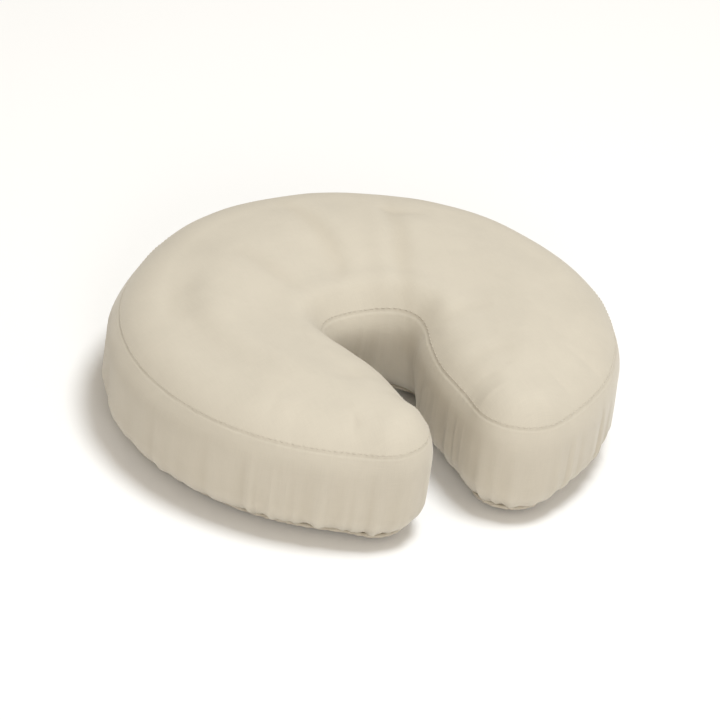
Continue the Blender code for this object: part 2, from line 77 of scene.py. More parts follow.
def inner_edge(n):
    """n evenly spaced points of the opening's edge for x > 0, chin to crown, and their directions into the cushion."""
    low, high = -0.145, -0.06
    for _ in range(50):
        mid = (low + high) / 2
        p = np.array([[GAP + TIP_R, mid]])
        low, high = (mid, high) if TIP_R > np.linalg.norm(nearest(p) - p) else (low, mid)
    y = np.linspace(low, NECK_Y, 200)
    pts = [np.stack([np.full_like(y, GAP), y], -1)]
    way = [np.tile([1.0, 0.0], (200, 1))]
    a = np.linspace(0, NECK_ANGLE, 200)
    w = np.stack([np.cos(a), -np.sin(a)], -1)
    pts.append(np.array([GAP + NECK_R, NECK_Y]) - NECK_R * w)
    way.append(w)
    neck = pts[-1][-1]
    r = neck[0] / math.cos(NECK_ANGLE)
    cy = neck[1] + r * math.sin(NECK_ANGLE)
    a = np.linspace(-NECK_ANGLE, math.pi / 2, 600)
    flat = np.where(a > 0, CROWN_FLAT, 1.0)
    pts.append(np.stack([r * np.cos(a), cy + r * flat * np.sin(a)], -1))
    w = np.stack([np.cos(a), np.sin(a) / flat], -1)
    way.append(w / np.linalg.norm(w, axis=1)[:, None])
    pts, way = np.concatenate(pts), np.concatenate(way)
    run = np.concatenate([[0], np.cumsum(np.linalg.norm(np.diff(pts, axis=0), axis=1))])
    keep = np.concatenate([[True], np.diff(run) > 1e-9])
    run, pts, way = run[keep], pts[keep], way[keep]
    at = np.linspace(0, run[-1], n)
    p = np.stack([np.interp(at, run, pts[:, k]) for k in (0, 1)], -1)
    w = np.stack([np.interp(at, run, way[:, k]) for k in (0, 1)], -1)
    return p, w / np.linalg.norm(w, axis=1)[:, None]


def plan(n, tip):
    """(edge points, crest points) round the crescent, from the middle of the crown, clockwise seen from above."""
    p, w = inner_edge(n)
    low, high = np.full(n, 0.01), np.full(n, 0.12)
    for _ in range(50):
        mid = (low + high) / 2
        q = p + mid[:, None] * w
        far = np.linalg.norm(nearest(q) - q, axis=1) > mid
        low, high = np.where(far, mid, low), np.where(far, high, mid)
    crest = p + low[:, None] * w
    outer = nearest(crest)
    for row in (p, crest, outer):
        row[-1, 0] = 0.0
    d = outer[0] - crest[0]
    to = math.atan2(0, -1)
    a0 = (math.atan2(d[1], d[0]) - to) % (2 * math.pi)
    turn = -a0 * np.arange(1, tip + 1) / (tip + 1)
    fan = crest[0] + np.stack([d[0] * np.cos(turn) - d[1] * np.sin(turn), d[0] * np.sin(turn) + d[1] * np.cos(turn)], -1)
    edge = np.concatenate([outer[::-1], fan, p])
    top = np.concatenate([crest[::-1], np.tile(crest[0], (tip, 1)), crest])
    flip = np.array([-1, 1])
    edge = np.concatenate([edge, edge[1:-1][::-1] * flip])
    top = np.concatenate([top, top[1:-1][::-1] * flip])
    return edge, top


class Ring:
    """The plan at one resolution, with what every loft along it needs."""

    def __init__(self, n, tip):
        self.n, self.tip = n, tip
        self.edge, self.crest = plan(n, tip)
        gap = self.crest - self.edge
        self.room = np.linalg.norm(gap, axis=1)
        self.way = gap / self.room[:, None]
        self.k = np.minimum(1, self.room / 0.043)
        _, self.crest_id = np.unique(np.round(self.crest * 1e6).astype(int), axis=0, return_inverse=True)
        self.crest_id = self.crest_id.reshape(-1)
        self.size = len(self.edge)
        step = np.linalg.norm(np.roll(self.edge, -1, 0) - self.edge, axis=1)
        self.run = np.concatenate([[0], np.cumsum(step)])  # arc length, one longer than the ring
        self.tip_at = self.crest[n]  # the right lobe's crest end
        self.from_tip = np.linalg.norm(np.abs(self.crest) * [1, 0] + self.crest * [0, 1] - self.tip_at, axis=1)
        self.inner = np.zeros(self.size, bool)
        self.inner[n + tip : 3 * n + tip - 1] = True

    def at(self, depth, z, off=0.0):
        """Points (ring, profile, 3) at (depth, height) rows; depth counts from the edge, scaled on narrow lobes."""
        into = np.minimum(self.room[:, None], off + (np.asarray(depth)[None, :] - off) * self.k[:, None])
        xy = self.edge[:, None, :] + self.way[:, None, :] * into[..., None]
        return np.concatenate([xy, np.broadcast_to(np.asarray(z)[None, :, None], xy.shape[:2] + (1,))], -1)


def valley(x, y):
    """The shallow dip across the middle of the crown."""
    along = np.clip((B - 0.006 - y) / 0.09, 0, 1) * np.clip((y + 0.03) / 0.05, 0, 1)
    return VALLEY * np.exp(-((x / 0.030) ** 2)) * along * along * (3 - 2 * along)


def arc_base(off, degrees):
    a = np.radians(degrees)
    return BASE_R - (BASE_R - off) * np.sin(a), BASE_Z + BASE_H - (BASE_H - off) * np.cos(a)


def arc_top(off, degrees):
    a = np.radians(degrees)
    return TOP_R - (TOP_R - off) * np.cos(a), THICK_EDGE - TOP_R + (TOP_R - off) * np.sin(a)


def surface(ring, off, start, counts):
    """The cushion's skin from an angle on the bottom rounding, up the side and over to the crest line."""
    nb, ns, nt, nf = counts
    d1, z1 = arc_base(off, np.linspace(start, 90, nb, endpoint=False))
    d2, z2 = np.full(ns, off), np.linspace(BASE_Z + BASE_H, THICK_EDGE - TOP_R, ns, endpoint=False)
    d3, z3 = arc_top(off, np.linspace(0, 90, nt, endpoint=False))
    side = ring.at(np.concatenate([d1, d2, d3]), np.concatenate([z1, z2, z3]), off)
    t = np.linspace(0, 1, nf + 1)
    begin = off + (TOP_R - off) * ring.k
    into = begin[:, None] + (ring.room - begin)[:, None] * t[None, :]
    xy = ring.edge[:, None, :] + ring.way[:, None, :] * into[..., None]
    rise = (THICK - THICK_EDGE) * np.minimum(1, ring.from_tip / 0.035)
    z = THICK_EDGE - off + rise[:, None] * smooth(t)[None, :]
    top = np.concatenate([xy, z[..., None]], -1)
    p = np.concatenate([side, top], 1)
    lift = np.clip((p[..., 2] - 0.046) / 0.036, 0, 1)
    p[..., 2] -= valley(p[..., 0], p[..., 1]) * lift * lift * (3 - 2 * lift)
    return p


def grid_ids(ring, m, shared_crest=True):
    """Vertex numbers of a (ring, profile) grid; the last column is the crest line, shared by both sides of the band."""
    n = ring.size
    if not shared_crest:
        return np.arange(n * m).reshape(n, m)
    ids = np.empty((n, m), int)
    ids[:, : m - 1] = np.arange(n * (m - 1)).reshape(n, m - 1)
    ids[:, m - 1] = n * (m - 1) + ring.crest_id
    return ids


def grid_normals(p):
    along = np.roll(p, -1, 0) - np.roll(p, 1, 0)
    up = np.empty_like(p)
    up[:, 1:-1] = p[:, 2:] - p[:, :-2]
    up[:, 0] = p[:, 1] - p[:, 0]
    up[:, -1] = p[:, -1] - p[:, -2]
    n = np.cross(up, along)
    size = np.linalg.norm(n, axis=-1, keepdims=True)
    n = n / np.maximum(size, 1e-12)
    n[(size < 1e-10)[..., 0]] = (0, 0, 1)
    return n


def mesh_from_grid(name, ring, p, uv=None, shared_crest=True, wrap=False, attributes=()):
    """A mesh object from a (ring, profile) grid of points. shift to the frame's origin happens here."""
    n, m = p.shape[:2]
    ids = grid_ids(ring, m, shared_crest)
    verts = np.zeros((ids.max() + 1, 3))
    verts[ids.reshape(-1)] = p.reshape(-1, 3)
    verts[:, 1] -= SHIFT
    i = np.arange(n)[:, None]
    j = np.arange(m if wrap else m - 1)[None, :]
    i2, j2 = (i + 1) % n, (j + 1) % m
    quads = np.stack([ids[i, j], ids[i, j2], ids[i2, j2], ids[i2, j]], -1).reshape(-1, 4)
    corners = None
    if uv is not None:
        ext = np.concatenate([uv, uv[:1]], 0)
        ext[-1] = uv[0] + (ext_u(ring) if uv.shape[-1] == 2 else 0)
        jj = (np.arange(m if wrap else m - 1) + 1) % m
        a, b = ext[:-1, : len(jj)], ext[:-1][:, jj]
        c, d = ext[1:][:, jj], ext[1:, : len(jj)]
        corners = np.stack([a, b, c, d], 2).reshape(-1, 4, 2)
    mesh = bpy.data.meshes.new(name)
    faces, loops = [], []
    for q in range(len(quads)):
        row = quads[q]
        keep = [k for k in range(4) if row[k] != row[(k + 1) % 4]]
        if len(keep) < 3:
            continue
        faces.append([int(row[k]) for k in keep])
        loops.append((q, keep))
    mesh.from_pydata(verts.tolist(), [], faces)
    if corners is not None:
        layer = mesh.uv_layers.new(name="cloth")
        flat = np.concatenate([corners[q][keep] for q, keep in loops])
        layer.data.foreach_set("uv", flat.reshape(-1))
    for label, values in attributes:
        flat = np.zeros(len(verts))
        flat[ids.reshape(-1)] = np.asarray(values).reshape(-1)
        mesh.attributes.new(label, "FLOAT", "POINT").data.foreach_set("value", flat)
    mesh.update()
    mesh.shade_smooth()
    obj = bpy.data.objects.new(name, mesh)
    scene.collection.objects.link(obj)
    return obj


def ext_u(ring):
    return np.array([ring.run[-1], 0.0])


def wavy(x, y, z, scale, seed):
    """Smooth noise at many points, from -1 to 1."""
    flat = np.stack([np.ravel(x), np.ravel(y), np.ravel(z)], -1) * scale + seed * 7.31
    return np.array([noise.noise(Vector(v)) for v in flat]).reshape(np.shape(x))


def ring_noise(ring, scale, seed, octaves=1):
    """Smooth noise round the ring, by arc length, that joins up with itself."""
    t = ring.run[:-1] / ring.run[-1] * 2 * math.pi
    r = ring.run[-1] / (2 * math.pi)
    out = np.zeros(ring.size)
    for o in range(octaves):
        s = scale * 2**o
        out += wavy(np.cos(t) * r, np.sin(t) * r, np.full(ring.size, seed * 3.7), s, seed + o) / 2**o
    return out


def link(obj, body="cushion"):
    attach(obj, body)
    return obj


# ---------------------------------------------------------------- node materials
class Nodes:
    """Short ways to wire a material."""

    def __init__(self, name, rgb, rough, metal=0.0, **sockets):
        self.m = bpy.data.materials.new(name)
        self.m.use_nodes = True
        self.t = self.m.node_tree
        self.bsdf = self.t.nodes["Principled BSDF"]
        self.bsdf.inputs["Base Color"].default_value = (*rgb, 1)
        self.bsdf.inputs["Roughness"].default_value = rough
        self.bsdf.inputs["Metallic"].default_value = metal
        for k, v in sockets.items():
            self.bsdf.inputs[k.replace("_", " ")].default_value = v

    def node(self, kind, **settings):
        n = self.t.nodes.new("ShaderNode" + kind)
        for k, v in settings.items():
            setattr(n, k, v)
        return n

    def wire(self, a, b):
        self.t.links.new(a, b)

    def feed(self, socket, value):
        if isinstance(value, bpy.types.NodeSocket):
            self.wire(value, socket)
        else:
            socket.default_value = value

    def math(self, op, a, b=0.0, c=0.0, clamp=False):
        n = self.node("Math", operation=op, use_clamp=clamp)
        for s, v in zip(n.inputs, (a, b, c)):
            self.feed(s, v)
        return n.outputs[0]

    def coords(self, uv=True):
        """(u, v) in metres from the cloth's own layout, or the object's x and y."""
        src = self.node("UVMap", uv_map="cloth").outputs[0] if uv else self.node("TexCoord").outputs["Object"]
        sep = self.node("SeparateXYZ")
        self.wire(src, sep.inputs[0])
        return src, sep.outputs[0], sep.outputs[1], sep.outputs[2]

    def scaled(self, vector, x, y, z=1.0):
        n = self.node("Mapping")
        self.wire(vector, n.inputs["Vector"])
        n.inputs["Scale"].default_value = (x, y, z)
        return n.outputs[0]

    def noise(self, vector, scale, detail=2.0, rough=0.5):
        n = self.node("TexNoise")
        self.wire(vector, n.inputs["Vector"])
        n.inputs["Scale"].default_value, n.inputs["Detail"].default_value, n.inputs["Roughness"].default_value = scale, detail, rough
        return n.outputs["Fac"]

    def ramp(self, fac, *stops):
        n = self.node("ValToRGB")
        self.wire(fac, n.inputs[0])
        e = n.color_ramp.elements
        while len(e) < len(stops):
            e.new(0.5)
        for el, (pos, rgb) in zip(e, stops):
            el.position, el.color = pos, (*rgb, 1)
        return n.outputs[0]

    def mix(self, fac, a, b, blend="MIX"):
        n = self.node("Mix", data_type="RGBA", blend_type=blend)
        self.feed(n.inputs[0], fac)
        self.feed(n.inputs[6], a if isinstance(a, bpy.types.NodeSocket) else (*a, 1))
        self.feed(n.inputs[7], b if isinstance(b, bpy.types.NodeSocket) else (*b, 1))
        return n.outputs[2]

    def bump(self, height, strength, distance, below=None):
        n = self.node("Bump")
        n.inputs["Strength"].default_value, n.inputs["Distance"].default_value = strength, distance
        self.wire(height, n.inputs["Height"])
        if below is not None:
            self.wire(below, n.inputs["Normal"])
        return n.outputs[0]

    def done(self, color=None, rough=None, normal=None):
        for name, v in (("Base Color", color), ("Roughness", rough), ("Normal", normal)):
            if v is not None:
                self.wire(v, self.bsdf.inputs[name])
        return self.m


def tint(rgb, k):
    return tuple(min(1.0, c * k) for c in rgb)


def weave(n, u, v, pitch):
    """A plain weave's height from 0 to 1: threads along u and along v that pass over and under each other."""
    a = n.math("SINE", n.math("MULTIPLY", u, math.pi / pitch))
    b = n.math("SINE", n.math("MULTIPLY", v, math.pi / pitch))
    over = n.math("MULTIPLY_ADD", n.math("MULTIPLY", a, b), 1.6, 0.5, clamp=True)
    ra = n.math("POWER", n.math("ABSOLUTE", a), 0.55)
    rb = n.math("POWER", n.math("ABSOLUTE", b), 0.55)
    low = n.math("MULTIPLY", ra, over)
    high = n.math("MULTIPLY", rb, n.math("SUBTRACT", 1.0, over))
    return n.math("MAXIMUM", low, high)


def cotton(name, rgb, pitch=0.00062, painted_fold_shading=True):
    n = Nodes(name, rgb, 0.82, Sheen_Weight=0.25, Sheen_Roughness=0.4)
    vec, u, v, _ = n.coords()
    w = weave(n, u, v, pitch)
    slub_u = n.noise(n.scaled(vec, 90, 2100), 1.0, 2.0)
    slub_v = n.noise(n.scaled(vec, 2100, 90), 1.0, 2.0)
    slub = n.math("ADD", slub_u, slub_v)
    soft = n.noise(vec, 26, 3.0, 0.55)
    fine = n.noise(vec, 420, 3.0, 0.6)
    tone = n.math("MULTIPLY_ADD", slub, 0.24, n.math("MULTIPLY_ADD", soft, 0.42, 0.03))
    tone = n.math("MULTIPLY_ADD", w, 0.10, tone)
    color = n.ramp(tone, (0.30, tint(rgb, 0.91)), (0.52, rgb), (0.74, tint(rgb, 1.07)))
    # Painted shade and highlight: the per-point attribute read below pulls the colour towards a deeper, more saturated
    # brown where it is negative (crease valleys, the seam groove, pucker hollows, the hem's ripples), and lightens it
    # where it is positive (crease ridges, pucker crests).
    if painted_fold_shading:
        at = n.node("Attribute", attribute_name="painted_fold_shading").outputs["Fac"]
        painted_shade_amount = n.math("MULTIPLY", at, -1.0, clamp=True)
        color = n.mix(n.math("MULTIPLY", painted_shade_amount, 0.26), color, (rgb[0] * 0.66, rgb[1] * 0.60, rgb[2] * 0.50))
        color = n.mix(n.math("MULTIPLY", n.math("MAXIMUM", at, 0.0), 0.20), color, tint(rgb, 1.10))
    rough = n.math("MULTIPLY_ADD", slub, 0.12, 0.70)
    normal = n.bump(w, 0.28, 0.00016)
    normal = n.bump(slub, 0.16, 0.00022, normal)
    normal = n.bump(fine, 0.12, 0.00040, normal)
    normal = n.bump(soft, 0.20, 0.0030, normal)
    return n.done(color, rough, normal)


def vinyl(name, rgb, uv=True):
    n = Nodes(name, rgb, 0.42, Specular_IOR_Level=0.45)
    vec, *_ = n.coords(uv)
    cell = n.node("TexVoronoi", feature="DISTANCE_TO_EDGE")
    n.wire(vec, cell.inputs["Vector"])
    cell.inputs["Scale"].default_value = 720
    pore = n.noise(vec, 2600, 2.0)
    blotch = n.noise(vec, 34, 3.0)
    color = n.ramp(n.math("MULTIPLY_ADD", cell.outputs["Distance"], 0.7, n.math("MULTIPLY", blotch, 0.55)),
                   (0.14, tint(rgb, 0.78)), (0.42, rgb), (0.72, tint(rgb, 1.10)))
    rough = n.math("MULTIPLY_ADD", blotch, 0.22, 0.32)
    normal = n.bump(n.math("POWER", cell.outputs["Distance"], 0.5), 0.30, 0.0003)
    normal = n.bump(pore, 0.10, 0.0001, normal)
    return n.done(color, rough, normal)


def foam(name, rgb, scale=900):
    n = Nodes(name, rgb, 0.95)
    vec, *_ = n.coords(False)
    cell = n.node("TexVoronoi")
    n.wire(vec, cell.inputs["Vector"])
    cell.inputs["Scale"].default_value = scale
    big = n.noise(vec, 60, 4.0)
    color = n.ramp(n.math("MULTIPLY_ADD", cell.outputs["Distance"], 0.8, n.math("MULTIPLY", big, 0.4)),
                   (0.2, tint(rgb, 0.72)), (0.55, rgb), (0.9, tint(rgb, 1.08)))
    return n.done(color, n.math("MULTIPLY_ADD", big, 0.1, 0.88), n.bump(cell.outputs["Distance"], 0.5, 0.0007))


def loops(name, rgb):
    """Brushed loop pile."""
    n = Nodes(name, rgb, 0.95, Sheen_Weight=0.6, Sheen_Roughness=0.5)
    vec, *_ = n.coords(False)
    swirl = n.node("TexVoronoi", feature="SMOOTH_F1")
    n.wire(vec, swirl.inputs["Vector"])
    swirl.inputs["Scale"].default_value = 1300
    fibre = n.noise(n.scaled(vec, 1, 1, 1), 3200, 4.0, 0.7)
    h = n.math("MULTIPLY_ADD", fibre, 0.7, swirl.outputs["Distance"])
    color = n.ramp(h, (0.35, tint(rgb, 0.5)), (0.7, rgb), (1.0, tint(rgb, 2.4)))
    return n.done(color, n.math("MULTIPLY_ADD", fibre, 0.15, 0.8), n.bump(h, 0.7, 0.0007))


def tape(name, rgb, pitch=0.0011):
    """Woven zip tape, or elastic: a rib along its length and a fine cross weave."""
    n = Nodes(name, rgb, 0.8, Sheen_Weight=0.15)
    vec, u, v, _ = n.coords(False)
    w = weave(n, u, v, pitch)
    thread = n.noise(n.scaled(vec, 90, 2200, 90), 1.0, 2.0)
    color = n.ramp(n.math("MULTIPLY_ADD", w, 0.55, n.math("MULTIPLY", thread, 0.5)),
                   (0.2, tint(rgb, 0.7)), (0.6, rgb), (0.95, tint(rgb, 1.12)))
    return n.done(color, n.math("MULTIPLY_ADD", thread, 0.15, 0.72), n.bump(w, 0.5, 0.0003))


def nylon(name, rgb):
    n = Nodes(name, rgb, 0.35, Subsurface_Weight=0.05)
    vec, *_ = n.coords(False)
    a = n.noise(vec, 900, 2.0)
    color = n.ramp(a, (0.3, tint(rgb, 0.88)), (0.6, rgb), (0.8, tint(rgb, 1.08)))
    return n.done(color, n.math("MULTIPLY_ADD", a, 0.2, 0.25), n.bump(a, 0.08, 0.0001))


def nickel(name, rgb=(0.62, 0.60, 0.56)):
    n = Nodes(name, rgb, 0.3, 1.0)
    vec, *_ = n.coords(False)
    brush = n.noise(n.scaled(vec, 400, 5200, 5200), 1.0, 3.0)
    smear = n.noise(vec, 260, 3.0)
    color = n.ramp(smear, (0.3, tint(rgb, 0.82)), (0.6, rgb), (0.85, tint(rgb, 1.1)))
    rough = n.math("MULTIPLY_ADD", brush, 0.18, n.math("MULTIPLY_ADD", smear, 0.16, 0.14))
    return n.done(color, rough, n.bump(brush, 0.12, 0.00005))


def paint(obj, mat):
    obj.data.materials.clear()
    obj.data.materials.append(mat)
    return obj


CLOTH = (0.575, 0.526, 0.440)
VINYL = (0.60, 0.52, 0.40)

# ---------------------------------------------------------------- the cover
COARSE, TIP = 80, 12
COUNTS = (8, 5, 11, 10)  # coarse steps on the bottom rounding, the side, the top rounding and the top
HEM_START = HEM_FROM + 3


def merged(ring, p):
    """Unique vertices and quads of a grid with a shared crest line."""
    ids = grid_ids(ring, p.shape[1])
    verts = np.zeros((ids.max() + 1, 3))
    verts[ids.reshape(-1)] = p.reshape(-1, 3)
    return ids, verts


def relax(ids, values, times, keep=None):
    """Averages values on a grid with their neighbours, across the crest line too."""
    ring_a, ring_b = ids.reshape(-1), np.roll(ids, -1, 0).reshape(-1)
    up_a, up_b = ids[:, :-1].reshape(-1), ids[:, 1:].reshape(-1)
    a, b = np.concatenate([ring_a, up_a]), np.concatenate([ring_b, up_b])
    differ = a != b
    a, b = a[differ], b[differ]
    count = np.bincount(a, minlength=len(values)) + np.bincount(b, minlength=len(values))
    for _ in range(times):
        total = np.zeros_like(values)
        np.add.at(total, a, values[b])
        np.add.at(total, b, values[a])
        mean = total / np.maximum(count, 1)[:, None]
        new = 0.5 * values + 0.5 * mean
        values = new if keep is None else np.where(keep[:, None], values, new)
    return values


def puff(ring, p):
    """How far a cloth simulation moves each point: the cloth is cut a little full, more so towards the hem."""
    ids, verts = merged(ring, p)
    body = mesh_from_grid("cover_sim", ring, p)
    count = len(body.data.vertices)
    height = p[..., 2]
    full = np.zeros(len(verts))
    full[ids.reshape(-1)] = (1 - smooth((height - 0.012) / 0.050)).reshape(-1)
    hem = body.vertex_groups.new(name="hem")
    hem.add([int(i) for i in ids[:, 0]], 1.0, "REPLACE")
    hem.add([int(i) for i in ids[:, 1]], 0.6, "REPLACE")
    grow = body.vertex_groups.new(name="grow")
    for i in range(count):
        if full[i] > 0.01:
            grow.add([i], float(full[i]), "REPLACE")
    cloth = body.modifiers.new("cloth", "CLOTH")
    s = cloth.settings
    s.quality, s.mass, s.air_damping = 6, 0.15, 2.0
    s.tension_stiffness, s.compression_stiffness, s.shear_stiffness, s.bending_stiffness = 20, 20, 8, 0.25
    s.use_pressure, s.uniform_pressure_force = True, 3.2
    s.vertex_group_mass, s.pin_stiffness = "hem", 1.0
    s.shrink_min, s.shrink_max, s.vertex_group_shrink = -0.012, -0.085, "grow"
    s.effector_weights.gravity = 0
    cloth.collision_settings.use_collision = False
    cloth.point_cache.frame_start, cloth.point_cache.frame_end = 1, 20
    for f in range(1, 21):
        scene.frame_set(f)
    ev = body.evaluated_get(bpy.context.evaluated_depsgraph_get())
    out = np.empty(count * 3)
    ev.data.vertices.foreach_get("co", out)
    scene.frame_set(1)
    mesh = body.data
    bpy.data.objects.remove(body)
    bpy.data.meshes.remove(mesh)
    out = out.reshape(-1, 3)
    out[:, 1] += SHIFT
    return ids, out - verts


def doubled(d):
    """A (ring, profile, 3) grid at twice the resolution, smoothly."""
    a, b, c, e = d, np.roll(d, -1, 0), np.roll(d, 1, 0), np.roll(d, -2, 0)
    mid = (9 * (a + b) - c - e) / 16
    rows = np.stack([d, mid], 1).reshape(-1, *d.shape[1:])
    m = d.shape[1]
    out = np.empty((rows.shape[0], 2 * m - 1, 3))
    out[:, ::2] = rows
    half = (rows[:, :-1] + rows[:, 1:]) / 2
    half[:, 1:-1] = (9 * (rows[:, 1:-2] + rows[:, 2:-1]) - rows[:, :-3] - rows[:, 3:]) / 16
    out[:, 1::2] = half
    return out


def along_line(x, y, line):
    """(signed distance, fraction along) of points from a polyline, both in plan."""
    pts = np.array(line, float)
    seg = np.diff(pts, axis=0)
    size = np.linalg.norm(seg, axis=1)
    start = np.concatenate([[0], np.cumsum(size)])
    best = np.full(x.shape, 1e9)
    side = np.zeros(x.shape)
    frac = np.zeros(x.shape)
    for k in range(len(seg)):
        d = seg[k] / size[k]
        rx, ry = x - pts[k, 0], y - pts[k, 1]
        t = np.clip(rx * d[0] + ry * d[1], 0, size[k])
        ox, oy = rx - t * d[0], ry - t * d[1]
        dist = np.hypot(ox, oy)
        closer = dist < best
        best = np.where(closer, dist, best)
        side = np.where(closer, np.sign(d[0] * oy - d[1] * ox), side)
        frac = np.where(closer, (start[k] + t) / start[-1], frac)
    return best * side, frac


# Each crease: its line in plan (mm), depth, half-width, and the height of the soft ridge on its left (+) or right (-).
# The depth and ridge height also set the shade painted into the crease and the highlight painted on its ridge.
CREASES = [
    ([(-4, 32), (4, 48), (8, 66), (9, 88), (6, 108), (2, 128)], 1.8, 5.6, -1.0),
    ([(24, 4), (34, 16), (41, 34), (52, 62), (62, 88), (73, 112)], 2.0, 5.8, 1.1),
    ([(52, 92), (66, 84), (80, 79)], 1.0, 5.0, 0.4),
    ([(-30, 22), (-36, 38), (-44, 58), (-54, 76)], 1.1, 7.5, 0.4),
    ([(-118, 18), (-110, 40), (-98, 58)], 0.5, 8.0, 0.2),
    ([(36, -30), (52, -24), (70, -26)], 0.7, 6.5, 0.3),
    ([(-26, -74), (-42, -70), (-60, -74)], 0.8, 7.0, 0.3),
    ([(24, -78), (40, -70), (58, -74)], 0.7, 7.0, 0.3),
]

ring = Ring(2 * COARSE - 1, 2 * TIP + 1)
fine = [2 * c for c in COUNTS]
base = surface(ring, 0.0, HEM_START, fine)
coarse = Ring(COARSE, TIP)
rough = surface(coarse, 0.0, HEM_START, COUNTS)
c_ids, shift = puff(coarse, rough)
size = np.linalg.norm(shift, axis=1, keepdims=True)
shift *= 0.0042 * np.tanh(size / 0.0042) / np.maximum(size, 1e-9)
moved = doubled(shift[c_ids])

ids, verts = merged(ring, base)
loose = np.zeros_like(verts)
loose[ids.reshape(-1)] = moved.reshape(-1, 3)
loose = relax(ids, loose, 3)
loose = relax(ids, loose, 14, verts[:, 2] > 0.072)
tips = np.zeros(len(verts), bool)
tips[ids.reshape(-1)] = ((ring.from_tip < 0.020)[:, None] & (base[..., 2] > THICK_EDGE - 0.004)).reshape(-1)
loose = relax(ids, loose, 60, tips)
normals = grid_normals(base)
on_verts = np.zeros_like(verts)
on_verts[ids.reshape(-1)] = normals.reshape(-1, 3)
on_verts = relax(ids, on_verts, 2)
on_verts /= np.maximum(np.linalg.norm(on_verts, axis=1, keepdims=True), 1e-9)
loose *= (1 - 0.65 * smooth((0.078 - verts[:, 2]) / 0.022) * smooth((verts[:, 2] - 0.012) / 0.018))[:, None]

x, y, z = verts.T
upper = smooth((z - 0.055) / 0.022)
lower = 1 - smooth((z - 0.010) / 0.040)
push = 0.0007 * wavy(x, y, z, 16, 1) + 0.00035 * wavy(x, y, z, 42, 2)
painted_fold_shading = np.zeros(len(verts))
for line, deep, half, ridge in CREASES:
    pts = np.array(line) / 1000
    off, t = along_line(x, y, pts)
    half /= 1000
    wobble = 0.0016 * wavy(x, y, z, 55, 5)
    fade = np.sin(np.clip(t, 0.0, 1.0) * math.pi) ** 0.55 * upper
    dip = np.exp(-(((off + wobble) / half) ** 2)) * fade
    bank = np.exp(-(((off + wobble - math.copysign(1.9 * half, ridge)) / (1.3 * half)) ** 2)) * fade
    push += -deep / 1000 * dip + abs(ridge) / 1000 * bank
    # Painted shade in each crease's valley and painted highlight on its bank, kept as per-point values for the cloth
    # material.
    painted_fold_shading += -0.30 * deep * dip + 0.25 * abs(ridge) * bank

# A slack rim round the top of the face opening, where the cloth turns down into it.
inner_grid = np.broadcast_to(ring.inner[:, None], ids.shape)
is_inner = np.zeros(len(verts))
depth = np.linalg.norm(base[..., :2] - ring.edge[:, None, :], axis=-1)
is_inner[ids.reshape(-1)] = (inner_grid * (1 - smooth((depth - 0.014) / 0.016))).reshape(-1)
is_inner[ids[:, -1]] = 0
rim = np.exp(-(((z - 0.0775) / 0.0055) ** 2)) * is_inner
push += 0.0009 * rim * (0.7 + 0.5 * wavy(x, y, z, 45, 9))

# Puckers that climb from the elastic hem, each to its own height.
s = ring.run[:-1]
warp = 0.010 * ring_noise(ring, 34, 3, 2)
reach = np.maximum(0.010, 0.030 + 0.030 * ring_noise(ring, 60, 4, 2))
strong = np.clip(0.75 + 0.9 * ring_noise(ring, 22, 6, 2), 0.25, 1.5)
wave = np.zeros(base.shape[:2])
gap_up = np.maximum(0, base[..., 2] - 0.004)
for pitch, share, seed in ((0.0135, 1.0, 1), (0.0083, 0.55, 2), (0.0215, 0.8, 3)):
    turns = round(s[-1] / pitch)
    phase = 2 * math.pi * turns * (s + warp * (0.6 + 0.3 * seed)) / ring.run[-1] + seed
    crest_wave = 1 - 2 * np.abs(np.sin(phase / 2)) ** 0.8
    decay = np.exp(-gap_up / np.maximum(0.006, reach * (0.55 + 0.3 * seed))[:, None])
    wave += share * crest_wave[:, None] * decay
pucker = 0.00155 * wave * strong[:, None]
pucker *= np.where(inner_grid, 0.55, 1.0) * smooth((0.062 - base[..., 2]) / 0.02)
grid_push = pucker
flat_push = np.zeros(len(verts))
flat_push[ids.reshape(-1)] = grid_push.reshape(-1)
flat_pucker_shading = np.zeros(len(verts))
flat_pucker_shading[ids.reshape(-1)] = (pucker / 0.0011).reshape(-1)
push += flat_push
# Painted shade in the puckers' hollows and painted highlight on their crests, added to the same painted values.
painted_fold_shading += 0.6 * np.clip(flat_pucker_shading, -1, 0.6)
# Taut over the crown end of the opening, the cloth bridges its curve.
bridge = 0.0036 * is_inner * smooth((y + 0.045) / 0.030) * smooth((z - 0.020) / 0.030) * (1 - smooth((z - 0.0815) / 0.004))
push += bridge
# The crown is the fullest part.
push += 0.0022 * smooth((y - 0.020) / 0.090) * smooth((z - 0.048) / 0.024) * smooth((x + 0.095) / 0.095)
# The cover is pulled over the left shoulder, so that edge is the softer one.
shoulder = smooth((-x - 0.045) / 0.075) * smooth((z - 0.046) / 0.024) * (1 - smooth((z - 0.0838) / 0.0030))
push -= 0.0036 * shoulder * (1 - smooth((-y - 0.010) / 0.080))
# The sides stand a little proud between the seam and the hem.
push += 0.0006 * np.sin(np.clip((z - 0.012) / 0.052, 0, 1) * math.pi)
skin = verts + loose + on_verts * push[:, None]
inward = ((skin - verts) * on_verts).sum(1)
least = np.where(z < 0.050, -0.0018, -0.0050)
skin += on_verts * np.maximum(0, least - inward)[:, None]
skin = relax(ids, skin, 1)
skin[:, 2] = np.maximum(skin[:, 2], 0.0030)
cover_grid = skin[ids]
painted_fold_shading_grid = painted_fold_shading[ids]

# Rows beside the seam, so that it stays crisp, then the seam's groove and its little puckers.
SEAM_ROW = fine[0] + fine[1] + int(fine[2] * 30 / 90)
p = cover_grid
n_at = grid_normals(p)


def beside(g, row, t):
    return g[:, row] * (1 - t) + g[:, row + 1] * t


